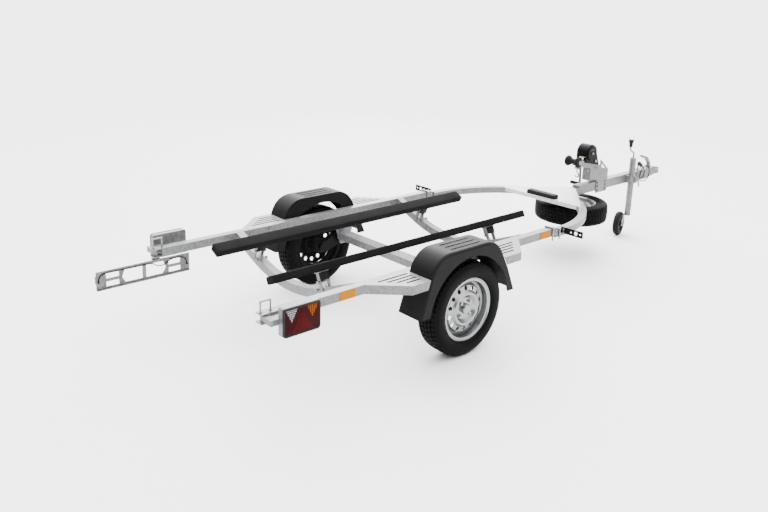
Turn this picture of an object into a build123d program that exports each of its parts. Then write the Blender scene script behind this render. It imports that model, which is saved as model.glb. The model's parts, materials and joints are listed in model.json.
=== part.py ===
"""Bunk trailer for a small boat: tube frame, sprung axle, winch, jockey wheel and swing-out lamp units.

Millimetres. +Y points to the coupling, +Z up, the ground is Z = 0 and +X is the trailer's right side.
Stations along the trailer are measured from the wheel axle, forward positive, and pass through at().
"""

import os

from build123d import *
from math import asin, atan2, cos, hypot, radians, sin, sqrt, tan

# Reach of the whole trailer from the wheel axle.
REAR_REACH = 1585.0
FRONT_REACH = 3240.0
AXLE_Y = (REAR_REACH - FRONT_REACH) / 2

# Road wheels.
TYRE_R = 273.0
TYRE_W = 150.0
TRACK_HALF = 672.0
RIM_R = 182.0
RIM_W = 124.0
RIM_OFFSET = 30.0
RIM_SHEET = 4.0
DISC_SHEET = 5.0
VENT_COUNT = 14
VENT_R = 13.0
VENT_RING_R = 120.0
BOLT_COUNT = 4
BOLT_RING_R = 50.0
BEAD_GAP = 0.3

# Hub and stub axle.
STUB_R = 20.0
STUB_LENGTH = 110.0
HUB_R = 48.0
HUB_FLANGE_R = 70.0
HUB_FLANGE = 10.0
HUB_CAP_R = 28.0
HUB_CAP_OUT = 22.0
RUNNING_FIT = 0.05

# Frame tubes.
RAIL_X = 583.0
TUBE = 50.0
TUBE_WALL = 3.0
FRAME_TOP = 522.0
RAIL_REAR = -1190.0
RAIL_FRONT = 980.0
BOW_TOP = 503.0
BOW_HEIGHT = 45.0
BOW_BEND_START = 1050.0
BOW_SIDE_R = 850.0
BOW_SIDE_TURN = 50.0
CROSSBAR_REAR = -680.0
CROSSBAR_FRONT = 660.0
CROSSBAR_SLOPE = 22.6
CROSSBAR_BEND_R = 913.0

# Drawbar and front platform.
DRAWBAR_W = 60.0
DRAWBAR_H = 72.0
DRAWBAR_REAR = 2045.0
HEAD_LENGTH = 240.0
DRAWBAR_FRONT = FRONT_REACH - HEAD_LENGTH
SHEET = 3.0
PLATFORM_REAR = 1582.0
PLATFORM_REAR_X = 360.0
PLATFORM_SHOULDER = 1857.0
PLATFORM_SHOULDER_X = 147.0
PLATFORM_FRONT = 1995.0
PLATFORM_FLANGE = 25.0
PAD_LENGTH = 250.0
PAD_DEPTH = 62.0
PAD_HEIGHT = 29.0
PAD_INSET = 4.0

# Axle beam on trailing arms.
BEAM_FORWARD = 150.0
BEAM_RISE = 67.0
BEAM_ACROSS_FLATS = 80.0
BEAM_WALL = 6.0
BEAM_END = 560.0
ARM_THICKNESS = 20.0
BRACKET_SHEET = 8.0
BRACKET_TOP_HALF = 100.0
BRACKET_BASE = 6.0

# Mudguards.
GUARD_TOP = 641.0
GUARD_BOTTOM = 311.0
GUARD_REAR_FOOT = -386.0
GUARD_REAR_CORNER = -274.0
GUARD_REAR_R = 145.0
GUARD_FRONT_CORNER = 205.0
GUARD_FRONT_R = 150.0
GUARD_KNEE = 312.0
GUARD_KNEE_Z = 455.0
GUARD_KNEE_R = 300.0
GUARD_FRONT_FOOT = 376.0
GUARD_OUTER = 750.0
GUARD_SHEET = 4.0
GUARD_MOUTH_R = 313.0
GUARD_EDGE_R = 16.0
SEAT_GAP = 0.3

# Side steps between rail and mudguard.
STEP_OUTER = 745.0
STEP_REAR_START = -631.0
STEP_REAR_FULL = -444.0
STEP_FRONT_START = 600.0
STEP_FRONT_FULL = 424.0
STEP_INNER_END = 250.0
SLOT_W = 14.0
SLOT_FIRST = 597.0
SLOT_PITCH = 32.0
SLOT_COUNT = 4
SLOT_FROM_EDGE = 62.0
SLOT_FROM_GUARD = 26.0

# Bunks.
BUNK_X = 280.0
BUNK_Z = 538.0
BUNK_TILT = 25.0
BUNK_W = 76.0
BUNK_T = 45.0
BUNK_REAR = -1002.0
BUNK_FRONT = 1000.0
BUNK_EDGE_R = 7.0
CRADLE_T = 4.0
CRADLE_W = 56.0
UPRIGHT_T = 5.0
UPRIGHT_W = 24.0
BLOCK_W = 40.0
UPRIGHT_LENGTH = 110.0
BLOCK_HEIGHT = 42.0

# Swing-out lamp units.
PIVOT_BACK = 35.0
PIN_R = 8.0
LUG_T = 6.0
LUG_REACH = 60.0
ARM_HUB_R = 14.0
LUG_GAP = 1.0
LAMP_BACK = 60.0
HOUSING_DEPTH = 32.0
LENS_DEPTH = 11.0
LAMP_LENGTH = 212.0
LAMP_HEIGHT = 144.0
LAMP_TOP = 570.0
LAMP_REAR_PAST_PIVOT = 26.0
LAMP_CORNER_R = 12.0
LATCH_ROD_R = 3.0
LATCH_HEIGHT = 55.0
LATCH_SPAN = 56.0

# Number-plate holder.
PLATE_LENGTH = 564.0
PLATE_HEIGHT = 105.0
PLATE_TOP = 458.0
PLATE_SHEET = 2.0
PLATE_IN_FROM_PIVOT = 11.0
PLATE_FLANGE = 16.0
PLATE_LAMP_L = 46.0
PLATE_LAMP_D = 26.0
PLATE_LAMP_H = 40.0
PLATE_CABLE_R = 3.0
PLATE_CABLE_DROP = 5.0
PLATE_SEAT = 1.0
PLATE_SEAT_DROP = 4.0
PLATE_SEAT_GAP = 5.0
PLATE_LAMP_INSET = 3.0
PLATE_LAMP_EDGE_R = 5.0
PLATE_TAB_EDGE = 16.0

# Windows of one half of the plate holder: (from the middle, above the low edge) points.
PLATE_WINDOWS = [
    [(150, 12), (224, 12), (224, 40), (150, 40)],
    [(150, 58), (224, 58), (224, 88), (150, 88)],
    [(11, 14), (112, 14), (132, 48), (116, 88), (11, 88)]]

# The plate cable's route: (from the holder's rear end, below its start line).
PLATE_CABLE_ROUTE = [
    (14, 58), (14, 30), (34, 10), (84, 8), (174, 10), (264, 8), (330, 10), (355, 30), (385, 38), (415, 30),
    (440, 10), (490, 8), (525, 14), (546, 35), (547, 63)]

# Winch stand and bow roller.
STAND_T = 5.0
STAND_REAR = 2170.0
STAND_CLAMP_REAR = 2266.0
STAND_FRONT = 2420.0
STAND_ARM_END = 2026.0
STAND_UNDER = 19.0
STAND_WEB_LOW = 545.0
STAND_WEB_TOP = 648.0
STAND_SHOULDER_Z = 607.0
STAND_ARM_H = 38.0
STAND_BRACE_Y = 2304.0
STAND_BRACE_Z = 702.0
STAND_HOLE = [(2322, 636), (2380, 618), (2320, 672)]
DECK_START = 2012.0
DECK_Z = 718.0
DECK_FALL = 0.22
DECK_FRONT = 2300.0
ROLLER_Y = 1980.0
ROLLER_Z = 720.0
ROLLER_LENGTH = 112.0
ROLLER_HALF = ROLLER_LENGTH / 2
ROLLER_END_R = 40.0
ROLLER_NECK_R = 22.0
ROLLER_CHAMFER = 4.0
YOKE_T = 4.0
YOKE_GAP = 1.0
YOKE_CLEAR = 6.0
YOKE_LOW = 36.0
YOKE_TOP = 8.0
YOKE_EYE = 16.0

# Winch.
WINCH_HALF = 45.0
WINCH_T = 4.0
WINCH_FOOT_REAR = 2085.0
WINCH_FOOT_FRONT = 2262.0
DRUM_Y = 2150.0
DRUM_Z = 770.0
COVER_R = 68.0
GUARD_DROP = 20.0
CAP_R = 60.0
CAP_T = 9.0
DRUM_R = 42.0
DRUM_HALF = 34.0
DRUM_FLANGE = 3.0
DRUM_FLANGE_RISE = 8.0
DRUM_SHAFT_R = 10.0
DRUM_FLOOR_GAP = 22.0
CRANK_Y = 2205.0
CRANK_Z = 706.0
CRANK_SHAFT_R = 8.0
CRANK_SHAFT_OUT = 6.0
CRANK_LENGTH = 215.0
CRANK_LEAN = 3.0
CRANK_OUT = 78.0
CRANK_ARM_T = 8.0
CRANK_ARM_HALF = 11.0
CRANK_GRIP_R = 12.0
CRANK_GRIP_L = 75.0
CRANK_GRIP_GAP = 4.0
CRANK_PIN_R = 5.0

# The strap's free end: its width, its side outline as (station, Z) and the hook that hangs in it.
STRAP_HALF = 22.0
STRAP_OUTLINE = [(2040, 662), (2040, 689), (2112, 765), (2109.8, 767.1), (2037, 690.3), (2037, 662)]
HOOK_EYE_R = 4.0
HOOK_R = 4.5
HOOK_BEND = 7.0
HOOK_EYE = [(-20, 8), (-20, 0), (20, 0), (20, 8)]
HOOK_SHANK = [(0, 0), (0, 30), (16, 42), (16, 62), (0, 70), (-15, 58)]

# Jockey wheel, between the winch stand and the coupling.
JOCKEY_SHARE = 0.61
JOCKEY_TUBE_R = 24.0
JOCKEY_TUBE_WALL = 2.5
JOCKEY_TUBE_TOP = 665.0
JOCKEY_TUBE_BOTTOM = 185.0
JOCKEY_CAP = 6.0
JOCKEY_LEG_WALL = 3.0
JOCKEY_LEG_SHOW = 2.0
JOCKEY_LEG_SHORT = 40.0
JOCKEY_CLEAR = 11.0
JOCKEY_SLIDE_FIT = 0.3
JOCKEY_WHEEL_R = 100.0
JOCKEY_WHEEL_W = 50.0
JOCKEY_HUB_R = 22.0
JOCKEY_TRAIL = 32.0
JOCKEY_TURN = 15.7
JOCKEY_SIDE_GAP = 6.0
JOCKEY_ARM_T = 5.0
JOCKEY_PLATE_T = 8.0
JOCKEY_FOOT_HALF = 20.0
JOCKEY_AXLE_R = 8.0
SPINDLE_R = 6.0
SPINDLE_BEND = 10.0
SPINDLE_BACK = 58.0
SPINDLE_RISES = (42.0, 74.0, 108.0)
KNOB_NECK_R = 13.0
KNOB_R = 20.0
KNOB_START = 100.0
KNOB_NECK = 42.0
KNOB_HEAD = 18.0
CLAMP_WALL = 9.0
CLAMP_HEIGHT = 60.0
CLAMP_DROP = 8.0
CLAMP_EAR = 16.0
CLAMP_EAR_HALF = 10.0
TOGGLE_R = 6.0
TOGGLE_POINTS = [(10, 0), (34, 0), (60, 62)]

# Coupling.
SLEEVE_WALL = 5.0
SLEEVE_GRIP = 70.0
NECK = 20.0
HEAD_NOSE_R = 22.0
SOCKET_FIT = 0.2
LEVER_HALF = 11.0
BALL_R = 25.0
BALL_BACK = 42.0
BALL_RISE = 30.0
HEAD_HALF = 34.0

# The locking lever's side outline: (ahead of the drawbar's end, above the sleeve).
LEVER_OUTLINE = [(84, -12), (122, -12), (114, 40), (62, 96), (-26, 122), (-33, 106), (46, 78), (90, 32)]

# Spare wheel.
SPARE_Y = 2000.0
SPARE_Z = 340.0

# Markers and reflectors.
MARKER_OUTER = 745.0
MARKER_Y = 1030.0
MARKER_HEIGHT = 43.0
REFLECTOR_L = 98.0
REFLECTOR_T = 3.0
REFLECTOR_REAR = -741.0
REFLECTOR_FRONT = 865.0
MARKER_DROP = 20.0

# Holes of the marker plate: (share of its span, radius as a share of the span).
MARKER_HOLES = [(0.46, 0.037), (0.68, 0.074), (0.88, 0.037)]

# Plug cable and breakaway wire.
PLUG_CABLE_R = 4.0
PLUG_BODY_R = 15.0
PLUG_COLLAR_R = 17.0
PLUG_BOOT_R = 8.0
WIRE_R = 1.5
EYE_R = 5.0
EYE_REACH = 5.0

# The plug cable's route: (X, ahead of the jockey tube, Z).
PLUG_CABLE_TURNS = [
    (41, 73, 471), (41, 103, 471), (52, 139, 455), (70, 179, 440), (80, 225, 454), (82, 253, 500),
    (82, 239, 554), (82, 193, 586), (82, 143, 574), (76, 119, 530), (66, 127, 484), (58, 165, 462),
    (54, 207, 476), (53, 223, 514), (53, 205, 550), (53, 172, 570)]

# The breakaway wire's route: (X, ahead of the drawbar's end, Z).
WIRE_TURNS = [
    (40, 0, 462), (62, 0, 462), (82, 30, 444), (96, 74, 434), (100, 120, 442), (96, 158, 470),
    (80, 174, 502), (60, 150, 516), (40, 150, 516)]

# Values that follow from the ones above.
FRAME_LOW = FRAME_TOP - TUBE
RAIL_IN = RAIL_X - TUBE
RAIL_MID = RAIL_X - TUBE / 2
DRAWBAR_HALF = DRAWBAR_W / 2
DRAWBAR_LOW = FRAME_TOP - DRAWBAR_H
BEAM_Z = TYRE_R + BEAM_RISE
BOW_LOW = BOW_TOP - BOW_HEIGHT
BOW_NOSE_R = (RAIL_MID - BOW_SIDE_R * (1 - cos(radians(BOW_SIDE_TURN)))) / cos(radians(BOW_SIDE_TURN))
BOW_NOSE_Y = BOW_BEND_START + (BOW_SIDE_R - BOW_NOSE_R) * sin(radians(BOW_SIDE_TURN))
BOW_NOSE = BOW_NOSE_Y + BOW_NOSE_R
CROSSBAR_BEND_HALF = CROSSBAR_BEND_R * sin(radians(CROSSBAR_SLOPE))
STUB_START = BEAM_END + ARM_THICKNESS
PIVOT_Y = RAIL_REAR - PIVOT_BACK
HOUSING_BACK = RAIL_X + LAMP_BACK
JOCKEY_X = DRAWBAR_HALF + JOCKEY_CLEAR + JOCKEY_TUBE_R
SLEEVE_REAR = DRAWBAR_FRONT - SLEEVE_GRIP
NECK_Y = DRAWBAR_FRONT + NECK
SLEEVE_LOW = DRAWBAR_LOW - SLEEVE_WALL
SLEEVE_TOP = FRAME_TOP + SLEEVE_WALL
BALL_Y = FRONT_REACH - BALL_BACK
BALL_Z = DRAWBAR_LOW + BALL_RISE
JOCKEY_Y = STAND_FRONT + JOCKEY_SHARE * (SLEEVE_REAR - STAND_FRONT)
JOCKEY_BORE_R = JOCKEY_TUBE_R - JOCKEY_TUBE_WALL
PLATE_INNER = -(RAIL_MID - PLATE_IN_FROM_PIVOT)
PLATE_OUTER = PLATE_INNER - PLATE_SHEET
PLATE_LOW = PLATE_TOP - PLATE_HEIGHT
PLATE_FRONT = PLATE_LENGTH - REAR_REACH
PLUG_CABLE_ROUTE = [(x, JOCKEY_Y + y, z) for x, y, z in PLUG_CABLE_TURNS]
WIRE_ROUTE = [(x, DRAWBAR_FRONT + y, z) for x, y, z in WIRE_TURNS]


def at(station):
    """Y of a station measured from the wheel axle."""
    return AXLE_Y + station


def block(x0, x1, y0, y1, z0, z1):
    """Box between two corners, with its Y limits given as stations."""
    size = Box(x1 - x0, y1 - y0, z1 - z0)
    return Pos((x0 + x1) / 2, at((y0 + y1) / 2), (z0 + z1) / 2) * size


def side_plate(points, x0, x1):
    """Plate between two X planes, outlined by (station, Z) points."""
    face = make_face(Polyline([(at(y), z) for y, z in points], close=True))
    return Pos(x0, 0, 0) * extrude(Plane.YZ * face, x1 - x0)


def cross_plate(points, y0, y1):
    """Plate between two stations, outlined by (X, Z) points."""
    face = make_face(Polyline([(x, -z) for x, z in points], close=True))
    return Pos(0, at(y0), 0) * extrude(Plane((0, 0, 0), (1, 0, 0), (0, 1, 0)) * face, y1 - y0)


def flat_plate(points, z0, z1):
    """Level plate outlined by (X, station) points."""
    face = make_face(Polyline([(x, at(y)) for x, y in points], close=True))
    return Pos(0, 0, z0) * extrude(face, z1 - z0)


def x_rod(radius, x0, x1, y, z):
    """Round bar along X at one station."""
    return Pos((x0 + x1) / 2, at(y), z) * Rot(0, 90, 0) * Cylinder(radius, x1 - x0)


def z_rod(radius, x, y, z0, z1):
    """Upright round bar."""
    return Pos(x, at(y), (z0 + z1) / 2) * Cylinder(radius, z1 - z0)


def turned(points):
    """Solid of revolution about X from (axial, radius) points."""
    return revolve(make_face(Polyline(points, close=True)), Axis.X, 360)


def bent_rod(points, radius, bend):
    """Round bar through (X, station, Z) points with one bend radius."""
    path = FilletPolyline([(x, at(y), z) for x, y, z in points], radius=bend)
    return sweep(Plane(path @ 0, z_dir=path % 0) * Circle(radius), path)


def cord_radii(points):
    """Largest bend radii that the two runs beside each corner allow."""
    radii = []
    for before, here, after in zip(points, points[1:], points[2:]):
        run_in = Vector(*here) - Vector(*before)
        run_out = Vector(*after) - Vector(*here)
        turn = run_in.get_angle(run_out)
        radii.append(0.45 * min(run_in.length, run_out.length) / tan(radians(turn / 2)))
    return radii


def cord(points, radius):
    """Cord solid through (X, station, Z) points."""
    route = [(x, at(y), z) for x, y, z in points]
    radii = cord_radii(route)
    print("cord", 2 * radius, "mm, radii", [round(r) for r in radii])
    path = FilletPolyline(route, radius=radii)
    print("length", round(path.length))
    return sweep(Plane(path @ 0, z_dir=path % 0) * Circle(radius), path)


def mirrored(shape):
    """The same piece on the trailer's left side."""
    return mirror(shape, Plane.YZ)


# Frame.

def rail():
    outer = block(RAIL_IN, RAIL_X, RAIL_REAR, RAIL_FRONT, FRAME_LOW, FRAME_TOP)
    bore = block(RAIL_IN + TUBE_WALL, RAIL_X - TUBE_WALL, RAIL_REAR, RAIL_FRONT,
                 FRAME_LOW + TUBE_WALL, FRAME_TOP - TUBE_WALL)
    return outer - bore


def bow():
    """One half of the front bow: a straight run beside the rail's end, a wide bend and a tighter nose."""
    bend_y = at(BOW_BEND_START)
    side_centre = (RAIL_MID - BOW_SIDE_R, bend_y)
    turn = BOW_SIDE_TURN
    straight = Line((RAIL_MID, at(RAIL_FRONT)), (RAIL_MID, bend_y))
    side = CenterArc(side_centre, BOW_SIDE_R, 0, turn)
    nose = CenterArc((0, at(BOW_NOSE_Y)), BOW_NOSE_R, turn, 90 - turn)
    path = Pos(0, 0, BOW_TOP - BOW_HEIGHT / 2) * Wire([straight.edge(), side.edge(), nose.edge()])
    section = Rectangle(TUBE, BOW_HEIGHT) - Rectangle(TUBE - 2 * TUBE_WALL, BOW_HEIGHT - 2 * TUBE_WALL)
    tube = sweep(Plane(path @ 0, x_dir=(1, 0, 0), z_dir=(0, 1, 0)) * section, path)
    return tube - block(-DRAWBAR_HALF, DRAWBAR_HALF, BOW_NOSE - TUBE, BOW_NOSE + TUBE, BOW_LOW - 1,
                        BOW_TOP + 1)


def crossbar(station):
    """Tube that dips between the rails: straight slopes into one wide bend."""
    mid_z = FRAME_TOP - TUBE / 2
    slope = radians(CROSSBAR_SLOPE)
    bend_z = mid_z - (RAIL_IN - CROSSBAR_BEND_HALF) * tan(slope)
    centre_z = bend_z + CROSSBAR_BEND_R * cos(slope)
    reach = RAIL_X
    reach_z = mid_z + (reach - RAIL_IN) * tan(slope)
    low_z = centre_z - CROSSBAR_BEND_R
    bend_x = CROSSBAR_BEND_HALF
    line = [(-reach, reach_z), (-bend_x, bend_z), (0, low_z), (bend_x, bend_z), (reach, reach_z)]
    points = [Vector(x, at(station), z) for x, z in line]
    path = Wire([Edge.make_line(points[0], points[1]), Edge.make_three_point_arc(*points[1:4]),
                 Edge.make_line(points[3], points[4])])
    hollow = TUBE - 2 * TUBE_WALL
    plane = Plane(path @ 0, x_dir=(0, 1, 0), z_dir=path % 0)
    tube = sweep(plane * (Rectangle(TUBE, TUBE) - Rectangle(hollow, hollow)), path)
    return tube & block(-RAIL_IN, RAIL_IN, station - TUBE, station + TUBE, 0, 2 * FRAME_TOP)


def drawbar():
    """Tube ahead of the platform, closed at its rear, and a lower tube under the platform back to the bow."""
    start = BOW_NOSE - TUBE / 2
    inner = DRAWBAR_HALF - TUBE_WALL
    low = DRAWBAR_LOW + TUBE_WALL
    tube = block(-DRAWBAR_HALF, DRAWBAR_HALF, DRAWBAR_REAR, DRAWBAR_FRONT, DRAWBAR_LOW, FRAME_TOP)
    tube -= block(-inner, inner, DRAWBAR_REAR + TUBE_WALL, DRAWBAR_FRONT, low, FRAME_TOP - TUBE_WALL)
    under = block(-DRAWBAR_HALF, DRAWBAR_HALF, start, DRAWBAR_REAR, DRAWBAR_LOW, BOW_TOP)
    under -= block(-inner, inner, start, DRAWBAR_REAR, low, BOW_TOP - TUBE_WALL)
    return tube + under


def platform():
    """Tread sheet over the bow's nose and the drawbar's rear, with a flange turned down at its rear edge."""
    half = [(PLATFORM_REAR_X, PLATFORM_REAR), (PLATFORM_SHOULDER_X, PLATFORM_SHOULDER),
            (DRAWBAR_HALF, PLATFORM_FRONT)]
    outline = half + [(-x, y) for x, y in reversed(half)]
    plate = flat_plate(outline, BOW_TOP, BOW_TOP + SHEET)
    ring = BOW_NOSE_R - TUBE / 2 - SEAT_GAP
    front = PLATFORM_REAR + SHEET
    flange_half = sqrt(ring ** 2 - (front - BOW_NOSE_Y) ** 2)
    return plate + block(-flange_half, flange_half, PLATFORM_REAR, front, BOW_TOP - PLATFORM_FLANGE, BOW_TOP)


def platform_pad():
    rear = PLATFORM_REAR + PAD_INSET
    base = BOW_TOP + SHEET
    pad = block(-PAD_LENGTH / 2, PAD_LENGTH / 2, rear, rear + PAD_DEPTH, base, base + PAD_HEIGHT)
    pad = fillet(pad.edges().filter_by(Axis.Z), PAD_DEPTH * 0.22)
    return fillet(pad.faces().sort_by(Axis.Z)[-1].edges(), PAD_HEIGHT * 0.3)


# Axle.

def hexagon(apothem):
    """Hexagon with upright front and rear sides, as (station, Z) points round the beam."""
    corner = apothem / cos(radians(30))
    return [(BEAM_FORWARD + corner * cos(radians(60 * k + 30)), BEAM_Z + corner * sin(radians(60 * k + 30)))
            for k in range(6)]


def axle_beam():
    outer = side_plate(hexagon(BEAM_ACROSS_FLATS / 2), -BEAM_END, BEAM_END)
    return outer - side_plate(hexagon(BEAM_ACROSS_FLATS / 2 - BEAM_WALL), -BEAM_END, BEAM_END)


def axle_bracket():
    """Plate that the beam passes through, with a flange under the rail."""
    low = BEAM_Z - BEAM_ACROSS_FLATS / 2 / cos(radians(30))
    base = FRAME_LOW - BRACKET_BASE
    foot = BEAM_ACROSS_FLATS * 0.4
    rear = BEAM_FORWARD - BRACKET_TOP_HALF
    front = BEAM_FORWARD + BRACKET_TOP_HALF
    foot_z = low - BRACKET_SHEET
    outline = [(rear, base), (BEAM_FORWARD - foot, foot_z), (BEAM_FORWARD + foot, foot_z), (front, base)]
    plate = side_plate(outline, RAIL_IN, RAIL_IN + BRACKET_SHEET)
    plate -= side_plate(hexagon(BEAM_ACROSS_FLATS / 2), RAIL_IN - 1, RAIL_IN + BRACKET_SHEET + 1)
    return plate + block(RAIL_IN, RAIL_X, rear, front, base, FRAME_LOW)


def trailing_arm():
    """Arm from the beam's end down and back to the stub axle."""
    big = BEAM_ACROSS_FLATS / 2 + 8
    small = STUB_R + 14
    run = hypot(BEAM_FORWARD, BEAM_RISE)
    lean = atan2(BEAM_RISE, BEAM_FORWARD)
    side = asin((big - small) / run)
    points = []
    for sign in (1, -1):
        angle = lean + sign * (radians(90) + side)
        points.append([(radius * cos(angle), radius * sin(angle)) for radius in (big, small)])
    outline = [(BEAM_FORWARD + points[0][0][0], BEAM_Z + points[0][0][1]),
               (points[0][1][0], TYRE_R + points[0][1][1]),
               (points[1][1][0], TYRE_R + points[1][1][1]),
               (BEAM_FORWARD + points[1][0][0], BEAM_Z + points[1][0][1])]
    arm = side_plate(outline, BEAM_END, STUB_START)
    arm += x_rod(big, BEAM_END, STUB_START, BEAM_FORWARD, BEAM_Z)
    arm += x_rod(small, BEAM_END, STUB_START, 0, TYRE_R)
    return arm + x_rod(STUB_R, STUB_START, STUB_START + STUB_LENGTH, 0, TYRE_R)


def rim_shape():
    """Steel wheel about the X axis: drop-centre barrel and dished disc with round vents."""
    half = RIM_W / 2
    seat = RIM_R - 14
    well = RIM_R - 34
    skin = RIM_SHEET
    right = [(half - 10, RIM_R), (half - 10, seat), (half - 40, seat - 6), (half - 48, well)]
    outer = [(half, RIM_R)] + right + [(-a, r) for a, r in reversed(right)] + [(-half, RIM_R)]
    under = [(half - 2, RIM_R - skin), (half - 10 + skin, RIM_R - 2 * skin), (half - 10 + skin, seat - skin),
             (half - 37, seat - 6 - skin), (half - 45, well - skin)]
    inner = [(-a, r) for a, r in under] + [(a, r) for a, r in reversed(under)]
    barrel = turned(outer + inner)
    face = RIM_OFFSET + DISC_SHEET
    front = [(face, HUB_CAP_R + 3), (face, 62), (face + 16, 82), (face + 17, 94), (face + 5, 106),
             (face, VENT_RING_R + 12), (face - 12, well - 6), (face - 24, well - skin + 1)]
    back = [(a - DISC_SHEET, r) for a, r in reversed(front)]
    disc = turned(front + back)
    for k in range(VENT_COUNT):
        hole = Rot(360 * k / VENT_COUNT, 0, 0) * Pos(face, 0, VENT_RING_R) * Rot(0, 90, 0)
        disc -= hole * Cylinder(VENT_R, 60)
    return barrel + disc


def tyre_shape():
    """Hollow tyre about the X axis, with bulged walls and a slightly crowned tread."""
    bead = RIM_W / 2 - 10 - BEAD_GAP
    foot = RIM_R - 14 + BEAD_GAP
    half = TYRE_W / 2
    mid = (TYRE_R + RIM_R) / 2 - 2
    lip = RIM_R + BEAD_GAP + 0.5
    shoulder = TYRE_R - 14
    tread = half - 19
    wall = 11.0
    outer = [(bead, foot), (bead, lip), (RIM_W / 2 + 1, lip + 3)]
    rise = [(half, mid), (half - 6, shoulder), (tread, TYRE_R - 4)]
    inside = [(half - 13, shoulder - 8), (half - wall, mid), (bead + 1, lip + 12), (bead - 12, foot)]
    line = Polyline(outer)
    bulge = ThreePointArc(outer[-1], rise[0], rise[1])
    edge = Line(rise[1], rise[2])
    crown = ThreePointArc(rise[2], (0, TYRE_R), (-rise[2][0], rise[2][1]))
    edge_b = Line((-rise[2][0], rise[2][1]), (-rise[1][0], rise[1][1]))
    bulge_b = ThreePointArc((-rise[1][0], rise[1][1]), (-rise[0][0], rise[0][1]),
                            (-outer[-1][0], outer[-1][1]))
    line_b = Polyline([(-a, r) for a, r in reversed(outer)])
    roof = [(-a, r) for a, r in reversed(inside)] + [(0, TYRE_R - wall)] + inside
    under = Polyline([(-bead, foot)] + roof + [(bead, foot)])
    face = make_face([line, bulge, edge, crown, edge_b, bulge_b, line_b, under])
    return revolve(face, Axis.X, 360)


def hub_shape():
    """Hub about the X axis, from the wheel's centre plane: bored body, flange and grease cap."""
    inner = STUB_START + 20 - TRACK_HALF
    bore = STUB_START + STUB_LENGTH + 1 - TRACK_HALF
    flange = RIM_OFFSET - HUB_FLANGE
    cap = RIM_OFFSET + DISC_SHEET + HUB_CAP_OUT
    fit = STUB_R + RUNNING_FIT
    return turned([(inner, fit), (inner, HUB_R), (flange, HUB_R), (flange, HUB_FLANGE_R),
                   (RIM_OFFSET, HUB_FLANGE_R), (RIM_OFFSET, HUB_CAP_R), (cap - 4, HUB_CAP_R),
                   (cap, HUB_CAP_R - 5), (cap, 0), (bore, 0), (bore, fit)])


def wheel_bolts():
    """Bolt heads seated on the wheel disc."""
    heads = []
    for k in range(BOLT_COUNT):
        place = Rot(360 * (k + 0.5) / BOLT_COUNT, 0, 0) * Pos(RIM_OFFSET + DISC_SHEET + 6, 0, BOLT_RING_R)
        heads.append(place * Rot(0, 90, 0) * extrude(RegularPolygon(9.5, 6), 6, both=True))
    return heads


def road_place(side):
    """Where the road wheel of one side stands, with its outer face outwards."""
    return Pos(side * TRACK_HALF, at(0), TYRE_R) * Rot(0, 0, 0 if side > 0 else 180)


def spare_place():
    """Where the spare lies, flat with its outer face up."""
    return Pos(0, at(SPARE_Y), SPARE_Z) * Rot(0, -90, 0)


# Mudguards and steps.

def guard_profile(inset, bottom):
    """Outline of the guard in (Y, Z): level top, rounded corners and sloping feet, shrunk by an inset."""
    corners = [(GUARD_REAR_FOOT, GUARD_BOTTOM), (GUARD_REAR_CORNER, GUARD_TOP), (GUARD_FRONT_CORNER, GUARD_TOP),
               (GUARD_KNEE, GUARD_KNEE_Z), (GUARD_FRONT_FOOT, GUARD_BOTTOM)]
    rim = FilletPolyline([(at(y), z) for y, z in corners], radius=[GUARD_REAR_R, GUARD_FRONT_R, GUARD_KNEE_R])
    shape = make_face([rim, Line(rim @ 1, rim @ 0)])
    if inset:
        shape = offset_outline(shape, inset)
    low = Pos(at(0), bottom - GUARD_TOP) * Rectangle(4 * TYRE_R, 2 * GUARD_TOP)
    return shape - low


def offset_outline(shape, inwards):
    """The same outline with straight corners, moved inwards."""
    return offset(shape, amount=-inwards, kind=Kind.INTERSECTION)


def guard_solid(inset, bottom, x0, x1, edge_r):
    solid = Pos(x0, 0, 0) * extrude(Plane.YZ * guard_profile(inset, bottom), x1 - x0)
    if not edge_r:
        return solid
    outer = solid.faces().sort_by(Axis.X)[-1]
    lowest = outer.edges().sort_by(Axis.Z)[0]
    return fillet([e for e in outer.edges() if e != lowest], edge_r)


def mudguard():
    shell = guard_solid(0, GUARD_BOTTOM, RAIL_X, GUARD_OUTER, GUARD_EDGE_R)
    hollow = guard_solid(GUARD_SHEET, GUARD_BOTTOM, RAIL_X + GUARD_SHEET, GUARD_OUTER - GUARD_SHEET,
                         GUARD_EDGE_R - GUARD_SHEET)
    hollow += Pos(0, 0, -GUARD_SHEET) * hollow
    return shell - hollow - x_rod(GUARD_MOUTH_R, RAIL_X - 20, GUARD_OUTER + 5, 0, TYRE_R)


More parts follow.
